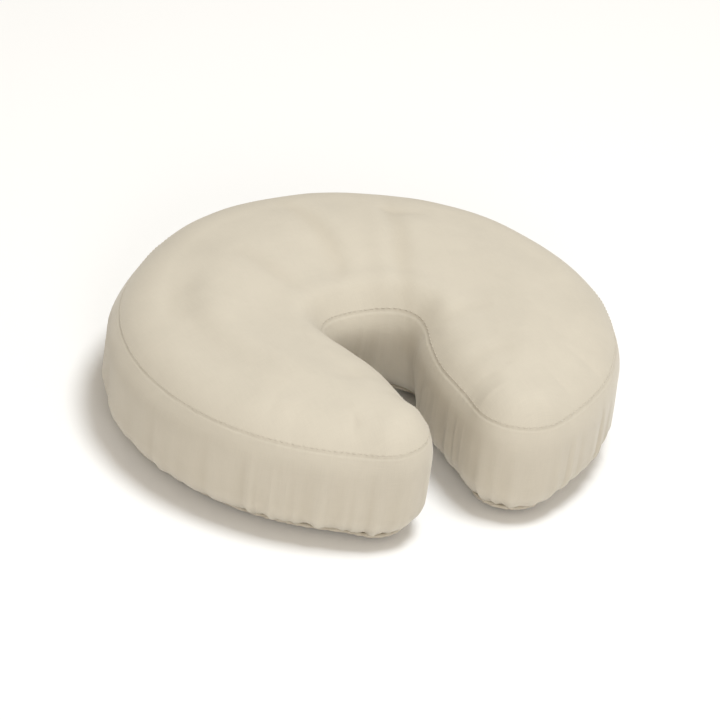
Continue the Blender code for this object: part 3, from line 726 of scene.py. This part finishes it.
def with_seam(g):
    below, above = beside(g, SEAM_ROW - 1, 0.62), beside(g, SEAM_ROW, 0.38)
    return np.concatenate([g[:, :SEAM_ROW], below[:, None], g[:, SEAM_ROW : SEAM_ROW + 1], above[:, None], g[:, SEAM_ROW + 1 :]], 1)


p, n_at = with_seam(p), with_seam(n_at)
n_at /= np.linalg.norm(n_at, axis=-1, keepdims=True)
painted_fold_shading_grid = with_seam(painted_fold_shading_grid[..., None])[..., 0]
SEAM = SEAM_ROW + 1
turns = round(ring.run[-1] / 0.0062)
phase = 2 * math.pi * turns * (s + 0.3 * warp) / ring.run[-1]
nip = 0.00010 * np.sin(phase) * (1 + ring_noise(ring, 80, 8))
for row, d in ((SEAM - 2, 0.00008), (SEAM - 1, 0.00014), (SEAM, -0.00028), (SEAM + 1, 0.00017), (SEAM + 2, 0.00010)):
    p[:, row] += n_at[:, row] * (d + (nip if row != SEAM else 0))[:, None] if row != SEAM else n_at[:, row] * d
# Painted shade along the seam's groove.
painted_fold_shading_grid[:, SEAM] -= 0.15
m = p.shape[1]

# The cloth's own layout, in metres: the skirt by length along and up it, the top panel as it was cut, in plan.
rise = np.concatenate([np.zeros((ring.size, 1)), np.cumsum(np.linalg.norm(np.diff(p, axis=1), axis=-1), 1)], 1)
uv = np.stack([np.broadcast_to(s[:, None], rise.shape), rise.mean(0)[None, :] + 0 * rise], -1)
cover = mesh_from_grid("cover_cotton", ring, p, uv, attributes=[("painted_fold_shading", np.clip(painted_fold_shading_grid, -1.2, 1.0))])
layer = cover.data.uv_layers["cloth"]
co = np.empty(len(cover.data.vertices) * 3)
cover.data.vertices.foreach_get("co", co)
co = co.reshape(-1, 3)
loop_v = np.empty(len(cover.data.loops), int)
cover.data.loops.foreach_get("vertex_index", loop_v)
uvs = np.empty(len(cover.data.loops) * 2)
layer.data.foreach_get("uv", uvs)
uvs = uvs.reshape(-1, 2)
row_of = np.zeros(len(co), int)
row_of[grid_ids(ring, m).reshape(-1)] = np.broadcast_to(np.arange(m)[None, :], (ring.size, m)).reshape(-1)
starts = np.empty(len(cover.data.polygons), int)
totals = np.empty(len(cover.data.polygons), int)
cover.data.polygons.foreach_get("loop_start", starts)
cover.data.polygons.foreach_get("loop_total", totals)
face_of = np.repeat(np.arange(len(starts)), totals)
lowest = np.minimum.reduceat(row_of[loop_v], starts)
on_top = (lowest >= SEAM)[face_of]
uvs[on_top] = co[loop_v[on_top]][:, :2]
layer.data.foreach_set("uv", uvs.reshape(-1))
paint(cover, cotton("cover_cotton_cloth", CLOTH))
thick = cover.modifiers.new("cloth thickness", "SOLIDIFY")
thick.thickness, thick.offset = 0.0006, -1
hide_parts("cover_top_panel", "cover_outer_skirt", "cover_inner_skirt")
link(cover)


# ---------------------------------------------------------------- topstitching on the seam
def stitches(name, path, normal, pitch, length, radius, mat, side=None):
    """A row of short rounded stitches along a closed path of points."""
    path, normal = np.asarray(path), np.asarray(normal)
    nxt = np.roll(path, -1, 0)
    run = np.concatenate([[0], np.cumsum(np.linalg.norm(nxt - path, axis=1))])
    count = int(run[-1] / pitch)
    ext_p = np.concatenate([path, path[:1]])
    ext_n = np.concatenate([normal, normal[:1]])
    at = (np.arange(count) + 0.5) * run[-1] / count
    verts, faces = [], []
    rings_, sides = 5, 6
    for a in at:
        here = np.array([np.interp([a - length / 2, a, a + length / 2], run, ext_p[:, k]) for k in range(3)]).T
        up = np.array([np.interp(a, run, ext_n[:, k]) for k in range(3)])
        up /= np.linalg.norm(up)
        way = here[2] - here[0]
        way /= np.linalg.norm(way)
        across = np.cross(way, up)
        first = len(verts)
        for i in range(rings_):
            t = i / (rings_ - 1)
            r = radius * (0.35 + 0.65 * math.sin(math.pi * t) ** 0.5)
            mid = here[0] * (1 - t) + here[2] * t + up * (radius * 0.55 * math.sin(math.pi * t) - radius * 0.15)
            for k in range(sides):
                b = 2 * math.pi * k / sides
                verts.append(mid + across * (r * math.cos(b)) + up * (r * 0.75 * math.sin(b)))
        for i in range(rings_ - 1):
            for k in range(sides):
                k2 = (k + 1) % sides
                faces.append((first + i * sides + k, first + i * sides + k2, first + (i + 1) * sides + k2, first + (i + 1) * sides + k))
        faces.append(tuple(first + k for k in reversed(range(sides))))
        faces.append(tuple(first + (rings_ - 1) * sides + k for k in range(sides)))
    mesh = bpy.data.meshes.new(name)
    mesh.from_pydata([tuple(v) for v in verts], [], faces)
    bm = bmesh.new()
    bm.from_mesh(mesh)
    bmesh.ops.recalc_face_normals(bm, faces=bm.faces)
    bm.to_mesh(mesh)
    bm.free()
    mesh.shade_smooth()
    obj = bpy.data.objects.new(name, mesh)
    scene.collection.objects.link(obj)
    return paint(obj, mat)


def thread(name, rgb):
    n = Nodes(name, rgb, 0.6, Sheen_Weight=0.3)
    vec, *_ = n.coords(False)
    twist = n.node("TexWave", wave_type="BANDS", bands_direction="DIAGONAL")
    n.wire(vec, twist.inputs["Vector"])
    twist.inputs["Scale"].default_value = 900
    a = n.noise(vec, 1200, 2.0)
    color = n.ramp(n.math("MULTIPLY_ADD", twist.outputs["Fac"], 0.4, n.math("MULTIPLY", a, 0.6)),
                   (0.2, tint(rgb, 0.85)), (0.7, tint(rgb, 1.08)))
    return n.done(color, None, n.bump(twist.outputs["Fac"], 0.3, 0.0001))


origin = np.array([0, -SHIFT, 0])
stitch_mat = thread("stitch_thread", tint(CLOTH, 1.02))
row = beside(p, SEAM + 1, 0.55) + origin
stitch_n = grid_normals(p)[:, SEAM + 1]
topstitch = stitches("cover_topstitch", row + stitch_n * 0.00006, stitch_n, 0.0036, 0.0026, 0.00030, stitch_mat)
link(topstitch)


# ---------------------------------------------------------------- gathered hem with its elastic
def band(name, ring, centre_angle, half, thick, off_mid, waves, mat, sides=16, ripple=0.0):
    """A soft band along the bottom rounding: a flattened tube, rippled along its length."""
    mid = np.radians(centre_angle)
    size = BASE_R - off_mid, BASE_H - off_mid
    centre = ring.at(np.array([BASE_R - size[0] * math.sin(mid)]), np.array([BASE_Z + BASE_H - size[1] * math.cos(mid)]), off_mid)[:, 0]
    # in the section: 'up' climbs the rounding, 'out' leaves the cushion
    tangent = np.array([-size[0] * math.cos(mid), size[1] * math.sin(mid)])
    tangent /= np.linalg.norm(tangent)
    way3 = np.concatenate([ring.way, np.zeros((ring.size, 1))], 1)
    up = way3 * tangent[0] + np.array([0, 0, tangent[1]])
    out = way3 * -tangent[1] + np.array([0, 0, tangent[0]])
    b = np.linspace(0, 2 * math.pi, sides, endpoint=False)
    cu, co_ = np.sign(np.cos(b)) * np.abs(np.cos(b)) ** 0.7, np.sign(np.sin(b)) * np.abs(np.sin(b)) ** 0.7
    t = ring.run[:-1] / ring.run[-1]
    turns = round(ring.run[-1] / waves)
    jitter = 0.9 * ring_noise(ring, 45, 11, 2)
    ph = 2 * math.pi * turns * t + 5 * jitter
    swell = 1 + ripple * np.sin(ph) * (0.7 + 0.5 * ring_noise(ring, 60, 12))
    sway = 0.0006 * ripple * np.sin(ph * 0.5 + 1.3)
    w = half * (1 + 0.25 * ripple * np.sin(ph + 1.1))
    pts = (
        centre[:, None, :]
        + up[:, None, :] * (w[:, None] * cu[None, :] + sway[:, None])[..., None]
        + out[:, None, :] * (thick * swell[:, None] * co_[None, :])[..., None]
    )
    pts[..., 2] = np.maximum(pts[..., 2], 0.0012)
    u = np.broadcast_to(ring.run[:-1][:, None], (ring.size, sides))
    v = np.broadcast_to((b / (2 * math.pi) * 4 * half)[None, :], (ring.size, sides))
    # Painted shade in the hollows of the band's ripple and a faint painted highlight on its crests, as per-point values
    # for the cloth material.
    obj = mesh_from_grid(name, ring, pts, np.stack([u, v], -1), shared_crest=False, wrap=True,
                         attributes=[("painted_fold_shading", np.broadcast_to((np.sin(ph) * 0.5 - 0.25)[:, None], (ring.size, sides)))])
    bm = bmesh.new()
    bm.from_mesh(obj.data)
    bmesh.ops.recalc_face_normals(bm, faces=bm.faces)
    if bm.calc_volume(signed=True) < 0:
        bmesh.ops.reverse_faces(bm, faces=bm.faces)
    bm.to_mesh(obj.data)
    bm.free()
    return paint(obj, mat)


hem_ring = Ring(2 * COARSE - 1, 2 * TIP + 1)
hem = band("cover_hem_gathered", hem_ring, (HEM_FROM + HEM_TO) / 2, 0.0052, 0.00155, 0.0002, 0.0078, cotton("hem_cotton_cloth", CLOTH), ripple=0.22)
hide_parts("cover_hem_casing")
link(hem)
elastic = band("hem_elastic_band", hem_ring, (HEM_FROM + HEM_TO) / 2, 0.0035, 0.0005, 0.0002, 0.0078, tape("elastic_weave", (0.80, 0.78, 0.74)), sides=8)
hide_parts("cover_hem_elastic")
link(elastic)

# ---------------------------------------------------------------- sewn casing
mid_ring = Ring(COARSE, TIP)
vinyl_mat = vinyl("casing_vinyl", VINYL)
cas = surface(mid_ring, CASING_OFF, 0.5, (9, 3, 9, 9))
cas_run = np.concatenate([np.zeros(1), np.cumsum(np.linalg.norm(np.diff(cas, axis=1), axis=-1).mean(0))])
cas_uv = np.stack([np.broadcast_to(mid_ring.run[:-1][:, None], cas.shape[:2]), np.broadcast_to(cas_run[None, :], cas.shape[:2])], -1)
lumps = wavy(cas[..., 0], cas[..., 1], cas[..., 2], 30, 21)
cas = cas - grid_normals(cas) * (0.0002 + 0.0003 * (1 + lumps))[..., None] * (1 - smooth((cas[..., 2:3] - 0.03) / 0.02)) * 0.6
tree = KDTree(len(verts))
for i_, v_ in enumerate(verts):
    tree.insert(Vector(v_), i_)
tree.balance()
sunk = np.minimum(0, ((skin - verts) * on_verts).sum(1))


def tucked(g, spare, reach=0.004):
    """Moves a grid of points inwards wherever the cover has sunk towards it."""
    n_ = grid_normals(g)
    out_ = g.copy()
    for a_ in range(g.shape[0]):
        for b_ in range(g.shape[1]):
            near = tree.find_n(Vector(g[a_, b_]), 4)
            low_ = min(sunk[k_] for _, k_, _ in near)
            out_[a_, b_] += n_[a_, b_] * min(0.0, low_ + spare)
    return out_


cas = tucked(cas, 0.0006)
casing = mesh_from_grid("casing_skin", mid_ring, cas, cas_uv)
paint(casing, vinyl_mat)
t = casing.modifiers.new("vinyl thickness", "SOLIDIFY")
t.thickness, t.offset = 0.0010, -1
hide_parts("casing_top_panel", "casing_outer_boxing", "casing_inner_boxing")
link(casing)

# Underside panel: flat where it lies on the cradle, easing in to its sewn edge, with the slot for the zip.
PANEL_Z = BASE_Z + CASING_OFF
tt = np.linspace(0, 1, 12)
start = (BASE_R + 0.0009 - CASING_OFF) * mid_ring.k + CASING_OFF
into = start[:, None] + (mid_ring.room - start)[:, None] * tt[None, :]
xy = mid_ring.edge[:, None, :] + mid_ring.way[:, None, :] * into[..., None]
bulge = 0.0006 * smooth(tt * 2.2)[None, :] * (1 + 0.5 * wavy(xy[..., 0], xy[..., 1], 0 * xy[..., 0], 40, 31))
zz = PANEL_Z + 0.0004 - bulge
zz = np.where(np.abs(xy[..., 1] - SHIFT - ZIP_Y) + np.maximum(0, np.abs(xy[..., 0]) - ZIP_HALF) < 0.016, PANEL_Z + 0.0001, zz)
under = mesh_from_grid("casing_underside", mid_ring, np.concatenate([xy, zz[..., None]], -1),
                       np.concatenate([xy], -1))
bm = bmesh.new()
bm.from_mesh(under.data)
for f in bm.faces:
    if f.normal.z > 0:
        f.normal_flip()
bm.to_mesh(under.data)
bm.free()
paint(under, vinyl("underside_vinyl", tint(VINYL, 0.97), uv=False))
t = under.modifiers.new("vinyl thickness", "SOLIDIFY")
t.thickness, t.offset = 0.0010, -1


def box(name, lo, hi):
    bm = bmesh.new()
    bmesh.ops.create_cube(bm, size=1.0)
    for v in bm.verts:
        v.co = Vector(((lo[k] + hi[k]) / 2 + v.co[k] * (hi[k] - lo[k])) for k in range(3))
    mesh = bpy.data.meshes.new(name)
    bm.to_mesh(mesh)
    bm.free()
    obj = bpy.data.objects.new(name, mesh)
    scene.collection.objects.link(obj)
    return obj


cutter = box("slot_cut", (-ZIP_HALF, ZIP_Y - ZIP_SLOT, -0.01), (ZIP_HALF, ZIP_Y + ZIP_SLOT, 0.012))
cut = under.modifiers.new("zip slot", "BOOLEAN")
cut.object, cut.solver, cut.operation = cutter, "EXACT", "DIFFERENCE"
bpy.context.view_layer.update()
done = bpy.data.meshes.new_from_object(under.evaluated_get(bpy.context.evaluated_depsgraph_get()))
under.modifiers.clear()
under.data = done
bpy.data.objects.remove(cutter)
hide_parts("casing_bottom_panel")
link(under)

# Piping where the boxing meets the underside, and a row of stitches beside it.
pipe_c = mid_ring.at(np.array([BASE_R + 0.0002]), np.array([PANEL_Z + 0.0002]), CASING_OFF)[:, 0]
b = np.linspace(0, 2 * math.pi, 10, endpoint=False)
way3 = np.concatenate([mid_ring.way, np.zeros((mid_ring.size, 1))], 1)
pipe = pipe_c[:, None, :] + way3[:, None, :] * (0.0011 * np.cos(b))[None, :, None] + np.array([0, 0, 1.0]) * (0.0011 * np.sin(b))[None, :, None]
piping = mesh_from_grid("casing_piping", mid_ring, pipe, np.stack([np.broadcast_to(mid_ring.run[:-1][:, None], pipe.shape[:2]), np.broadcast_to(b[None, :] * 0.001, pipe.shape[:2])], -1), shared_crest=False, wrap=True)
paint(piping, vinyl("piping_vinyl", tint(VINYL, 0.9)))
link(piping)
row = mid_ring.at(np.array([BASE_R + 0.0046]), np.array([PANEL_Z - 0.0003]), CASING_OFF)[:, 0] + origin
under_stitch = stitches("underside_stitch", row, np.tile([0, 0, -1.0], (mid_ring.size, 1)), 0.0042, 0.0030, 0.00032, thread("underside_thread", tint(VINYL, 1.15)))
link(under_stitch)


# ---------------------------------------------------------------- core
def solid_layer(name, rows, mat):
    """A closed layer from rows of (ring, profile) points that begin and end on the crest line."""
    n, m = rows.shape[:2]
    v, faces = [], []
    ids_ = np.arange(n * m).reshape(n, m)
    mesh = bpy.data.meshes.new(name)
    q = np.stack([ids_[:, :-1], ids_[:, 1:], np.roll(ids_, -1, 0)[:, 1:], np.roll(ids_, -1, 0)[:, :-1]], -1).reshape(-1, 4)
    pts = rows.reshape(-1, 3) + origin
    mesh.from_pydata(pts.tolist(), [], q.tolist())
    bm = bmesh.new()
    bm.from_mesh(mesh)
    bmesh.ops.remove_doubles(bm, verts=bm.verts, dist=2e-6)
    bmesh.ops.dissolve_degenerate(bm, edges=bm.edges, dist=1e-7)
    bmesh.ops.recalc_face_normals(bm, faces=bm.faces)
    if bm.calc_volume(signed=True) < 0:
        bmesh.ops.reverse_faces(bm, faces=bm.faces)
    bm.to_mesh(mesh)
    bm.free()
    mesh.shade_smooth()
    mesh.set_sharp_from_angle(angle=math.radians(40))
    obj = bpy.data.objects.new(name, mesh)
    scene.collection.objects.link(obj)
    return paint(obj, mat)


SPLIT = 0.046
low_ring = Ring(COARSE // 2, TIP // 2)


def crest_row(ring, z):
    return np.concatenate([ring.crest, np.full((ring.size, 1), z)], 1)[:, None, :]


def part_of(ring, off, counts, low, high):
    """The rows of the skin at a depth, between two heights."""
    g = surface(ring, off, 0, counts)
    keep = [j for j in range(g.shape[1]) if low <= g[0, j, 2] <= high or (high > 0.07 and j > counts[0] + counts[1] + counts[2] - 1)]
    return g[:, keep]


off = 0.0045
side = part_of(low_ring, off, (6, 3, 6, 5), 0, SPLIT - 0.002)
ledge = low_ring.at(np.array([off]), np.array([SPLIT - 0.0002]), off)
side = tucked(side, 0.0010)
foam_base = solid_layer("foam_base_block", np.concatenate([crest_row(low_ring, BASE_Z + off), side, ledge, crest_row(low_ring, SPLIT - 0.0002)], 1), foam("firm_foam_cells", (0.60, 0.63, 0.66)))
bpy.context.view_layer.update()
pocket = box("zip_pocket", (-ZIP_HALF - 0.0075, ZIP_Y - 0.0145, -0.002), (ZIP_HALF + 0.0075, ZIP_Y + 0.0145, 0.0130))
cut = foam_base.modifiers.new("zip pocket", "BOOLEAN")
cut.object, cut.solver, cut.operation = pocket, "EXACT", "DIFFERENCE"
bpy.context.view_layer.update()
done = bpy.data.meshes.new_from_object(foam_base.evaluated_get(bpy.context.evaluated_depsgraph_get()))
foam_base.modifiers.clear()
foam_base.data = done
bpy.data.objects.remove(pocket)
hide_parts("foam_base_layer")
link(foam_base)

off = 0.0092
top = tucked(part_of(low_ring, off, (6, 3, 6, 5), SPLIT + 0.002, 1), 0.0036)
ledge = low_ring.at(np.array([off]), np.array([SPLIT + 0.0002]), off)
foam_top = solid_layer("foam_comfort_block", np.concatenate([crest_row(low_ring, SPLIT + 0.0002), ledge, top], 1), foam("memory_foam_cells", (0.78, 0.66, 0.38), 1300))
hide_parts("foam_comfort_layer")
link(foam_top)

wrap_o = tucked(part_of(low_ring, 0.0044, (6, 3, 6, 5), SPLIT + 0.001, 1), 0.0010)
wrap_i = tucked(part_of(low_ring, 0.0080, (6, 3, 6, 5), SPLIT + 0.001, 1), 0.0028)
fibre = solid_layer("fibre_wadding", np.concatenate([wrap_o[:, ::-1], wrap_i], 1), foam("wadding_fibres", (0.88, 0.88, 0.86), 2200))
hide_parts("fibre_wrap")
link(fibre)


# ---------------------------------------------------------------- loop strips
def ribbon_outline(points, half, corner=0.004, steps=4):
    pts = [Vector(p) for p in points]
    last = len(pts) - 1
    ways = [(pts[min(i + 1, last)] - pts[max(i - 1, 0)]).normalized() for i in range(len(pts))]
    sides = [Vector((-w.y, w.x)) for w in ways]
    left = [p + s_ * half for p, s_ in zip(pts, sides)]
    right = [p - s_ * half for p, s_ in zip(pts, sides)]

    def cap(p, way, s_):
        made = []
        for first in (1, -1):
            centre = p - way * corner + s_ * first * (half - corner)
            for i in range(steps + 1):
                a = math.pi / 2 * i / steps
                u_, v_ = (s_ * first, way) if first == 1 else (way, s_ * first)
                made.append(centre + u_ * corner * math.cos(a) + v_ * corner * math.sin(a))
        return made

    return left[1:-1] + cap(pts[-1], ways[-1], sides[-1]) + right[1:-1][::-1] + cap(pts[0], -ways[0], -sides[0])


def strip(name, sign):
    """A sewn-on loop strip: a bevelled slab of pile with a row of stitches inside its edge."""
    inner = mid_ring.crest[mid_ring.n + mid_ring.tip :][: mid_ring.n]
    keep = [(sign * c[0], c[1] - SHIFT) for c in inner if c[1] - SHIFT > -0.0930 and c[1] - SHIFT < 0.0500]
    if sign < 0:
        keep = keep[::-1]
    walk = np.array(keep)
    gone = np.concatenate([[0], np.cumsum(np.linalg.norm(np.diff(walk, axis=0), axis=1))])
    ends = np.linspace(0, gone[-1], 17)
    keep = [(float(np.interp(g, gone, walk[:, 0])), float(np.interp(g, gone, walk[:, 1]))) for g in ends]
    outline = ribbon_outline(keep, 0.0122)
    bm = bmesh.new()
    bottom = [bm.verts.new((v.x, v.y, 0.0001)) for v in outline]
    face = bm.faces.new(bottom)
    up = bmesh.ops.extrude_face_region(bm, geom=[face])["geom"]
    for v in [g for g in up if isinstance(g, bmesh.types.BMVert)]:
        v.co.z = 0.0019
    bmesh.ops.recalc_face_normals(bm, faces=bm.faces)
    mesh = bpy.data.meshes.new(name)
    bm.to_mesh(mesh)
    bm.free()
    obj = bpy.data.objects.new(name, mesh)
    scene.collection.objects.link(obj)
    bev = obj.modifiers.new("soft edge", "BEVEL")
    bev.width, bev.segments, bev.limit_method = 0.0006, 2, "ANGLE"
    mesh.shade_smooth()
    mesh.set_sharp_from_angle(angle=math.radians(50))
    paint(obj, loops(name + "_pile", (0.045, 0.043, 0.040)))
    inset = ribbon_outline(keep, 0.0100, 0.003)
    path = [(v.x, v.y, 0.00016) for v in inset]
    sew = stitches(name + "_stitch", path, np.tile([0, 0, -1.0], (len(path), 1)), 0.0038, 0.0027, 0.00028, thread(name + "_thread", (0.10, 0.095, 0.09)))
    return obj, sew


for name, sign in (("right", 1), ("left", -1)):
    piece, sew = strip("loop_pile_" + name, sign)
    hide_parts("loop_strip_" + name)
    link(piece)
    link(sew)

# ---------------------------------------------------------------- zip
COIL_FROM, COIL_TO = -0.0552, 0.0600
for side_name, sign in (("rear", 1), ("front", -1)):
    curve = bpy.data.curves.new("zip_spiral_" + side_name, "CURVE")
    curve.dimensions, curve.bevel_depth, curve.bevel_resolution, curve.use_fill_caps = "3D", 0.00033, 1, True
    spline = curve.splines.new("POLY")
    turns, per = 64, 12
    pts = []
    for i in range(turns * per + 1):
        a = 2 * math.pi * i / per
        t = i / (turns * per)
        x_ = COIL_FROM + 0.0006 + (COIL_TO - COIL_FROM - 0.0012) * t + (0.0009 if sign > 0 else 0.0) * 0
        pts.append((x_, ZIP_Y + sign * (0.0019 - 0.00082 * math.cos(a) * 1.0), 0.00855 + 0.00068 * math.sin(a)))
    spline.points.add(len(pts) - 1)
    for q, c in zip(spline.points, pts):
        q.co = (*c, 1)
    coil = bpy.data.objects.new("zip_spiral_" + side_name, curve)
    scene.collection.objects.link(coil)
    paint(coil, nylon("zip_nylon_" + side_name, (0.56, 0.49, 0.38)))
    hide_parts("zip_coil_" + side_name)
    link(coil)

# ---------------------------------------------------------------- finishes of the CAD nodes that stay
for node_name in ("zip_tape_front", "zip_tape_rear"):
    paint(nodes[node_name], tape(node_name + "_weave", (0.50, 0.43, 0.33)))
paint(nodes["zip_facing"], vinyl("facing_vinyl", tint(VINYL, 0.95), uv=False))
for node_name in ("zip_top_stop", "zip_bottom_stop", "zip_slider", "zip_pull_tab", "vent_eyelet_left", "vent_eyelet_right",
                  "vent_washer_left", "vent_washer_right"):
    paint(nodes[node_name], nickel(node_name + "_metal"))

# ---------------------------------------------------------------- floor, light and camera
hole = mid_ring.at(np.array([0.0375]), np.array([0.0]))[:, 0][::2, :2] + origin[:2]
floor_curve = bpy.data.curves.new("floor", "CURVE")
floor_curve.dimensions, floor_curve.fill_mode = "2D", "BOTH"
for loop in ([(-9, -9), (9, -9), (9, 9), (-9, 9)], [tuple(h) for h in hole]):
    sp = floor_curve.splines.new("POLY")
    sp.points.add(len(loop) - 1)
    for q, (hx, hy) in zip(sp.points, loop):
        q.co = (hx, hy, 0, 1)
    sp.use_cyclic_u = True
tmp = bpy.data.objects.new("floor_curve", floor_curve)
scene.collection.objects.link(tmp)
bpy.context.view_layer.update()
floor_mesh = bpy.data.meshes.new_from_object(tmp.evaluated_get(bpy.context.evaluated_depsgraph_get()))
bpy.data.objects.remove(tmp)
bm = bmesh.new()
bm.from_mesh(floor_mesh)
bmesh.ops.remove_doubles(bm, verts=bm.verts, dist=1e-6)
for f in bm.faces:
    if f.normal.z < 0:
        f.normal_flip()
bm.to_mesh(floor_mesh)
bm.free()
floor = bpy.data.objects.new("floor", floor_mesh)
floor.location.z = -0.0002
scene.collection.objects.link(floor)
fm = bpy.data.materials.new("floor")
fm.use_nodes = True
ft = fm.node_tree
shader = ft.nodes["Principled BSDF"]
shader.inputs["Base Color"].default_value = (0.93, 0.93, 0.94, 1)
shader.inputs["Roughness"].default_value = 0.9
geo, clear, mixer = ft.nodes.new("ShaderNodeNewGeometry"), ft.nodes.new("ShaderNodeBsdfTransparent"), ft.nodes.new("ShaderNodeMixShader")
ft.links.new(geo.outputs["Backfacing"], mixer.inputs[0])
ft.links.new(shader.outputs[0], mixer.inputs[1])
ft.links.new(clear.outputs[0], mixer.inputs[2])
ft.links.new(mixer.outputs[0], ft.nodes["Material Output"].inputs["Surface"])
paint(floor, fm)

world = bpy.data.worlds.new("studio")
world.use_nodes = True
world.node_tree.nodes["Background"].inputs[0].default_value = (1.0, 0.925, 0.80, 1)
world.node_tree.nodes["Background"].inputs[1].default_value = 0.50
scene.world = world
scene.view_settings.view_transform = "Standard"
scene.view_settings.look = "None"

EYE = Vector((-1.8329, -2.9400, 2.1857))
TARGET = Vector((0.0, -0.002, 0.040))
ROLL = math.radians(7.6)


def lamp(name, place, aim, size, power, color=(1, 1, 1)):
    data = bpy.data.lights.new(name, "AREA")
    data.shape, data.size, data.energy, data.color = "DISK", size, power, color
    obj = bpy.data.objects.new(name, data)
    obj.location = place
    obj.rotation_euler = (Vector(aim) - Vector(place)).to_track_quat("-Z", "Y").to_euler()
    scene.collection.objects.link(obj)


lamp("key", (0.28, -0.30, 2.2), (0, 0, 0.05), 0.8, 33, (0.955, 0.985, 1.0))
lamp("front", (-0.95, -2.25, 1.1), (0, 0, 0.05), 0.9, 16, (1.0, 0.985, 0.96))
lamp("under", (0.0, 0.0, -1.3), (0, 0, 0), 1.0, 7, (1.0, 0.99, 0.97))

cam = bpy.data.cameras.new("camera")
cam.sensor_width, cam.lens, cam.clip_start, cam.clip_end = 36, 335, 0.1, 60
cam_obj = bpy.data.objects.new("camera", cam)
cam_obj.location = EYE
look = (TARGET - EYE).to_track_quat("-Z", "Y").to_matrix().to_4x4()
cam_obj.rotation_euler = (look @ Matrix.Rotation(ROLL, 4, "Z")).to_euler()
scene.collection.objects.link(cam_obj)
scene.camera = cam_obj
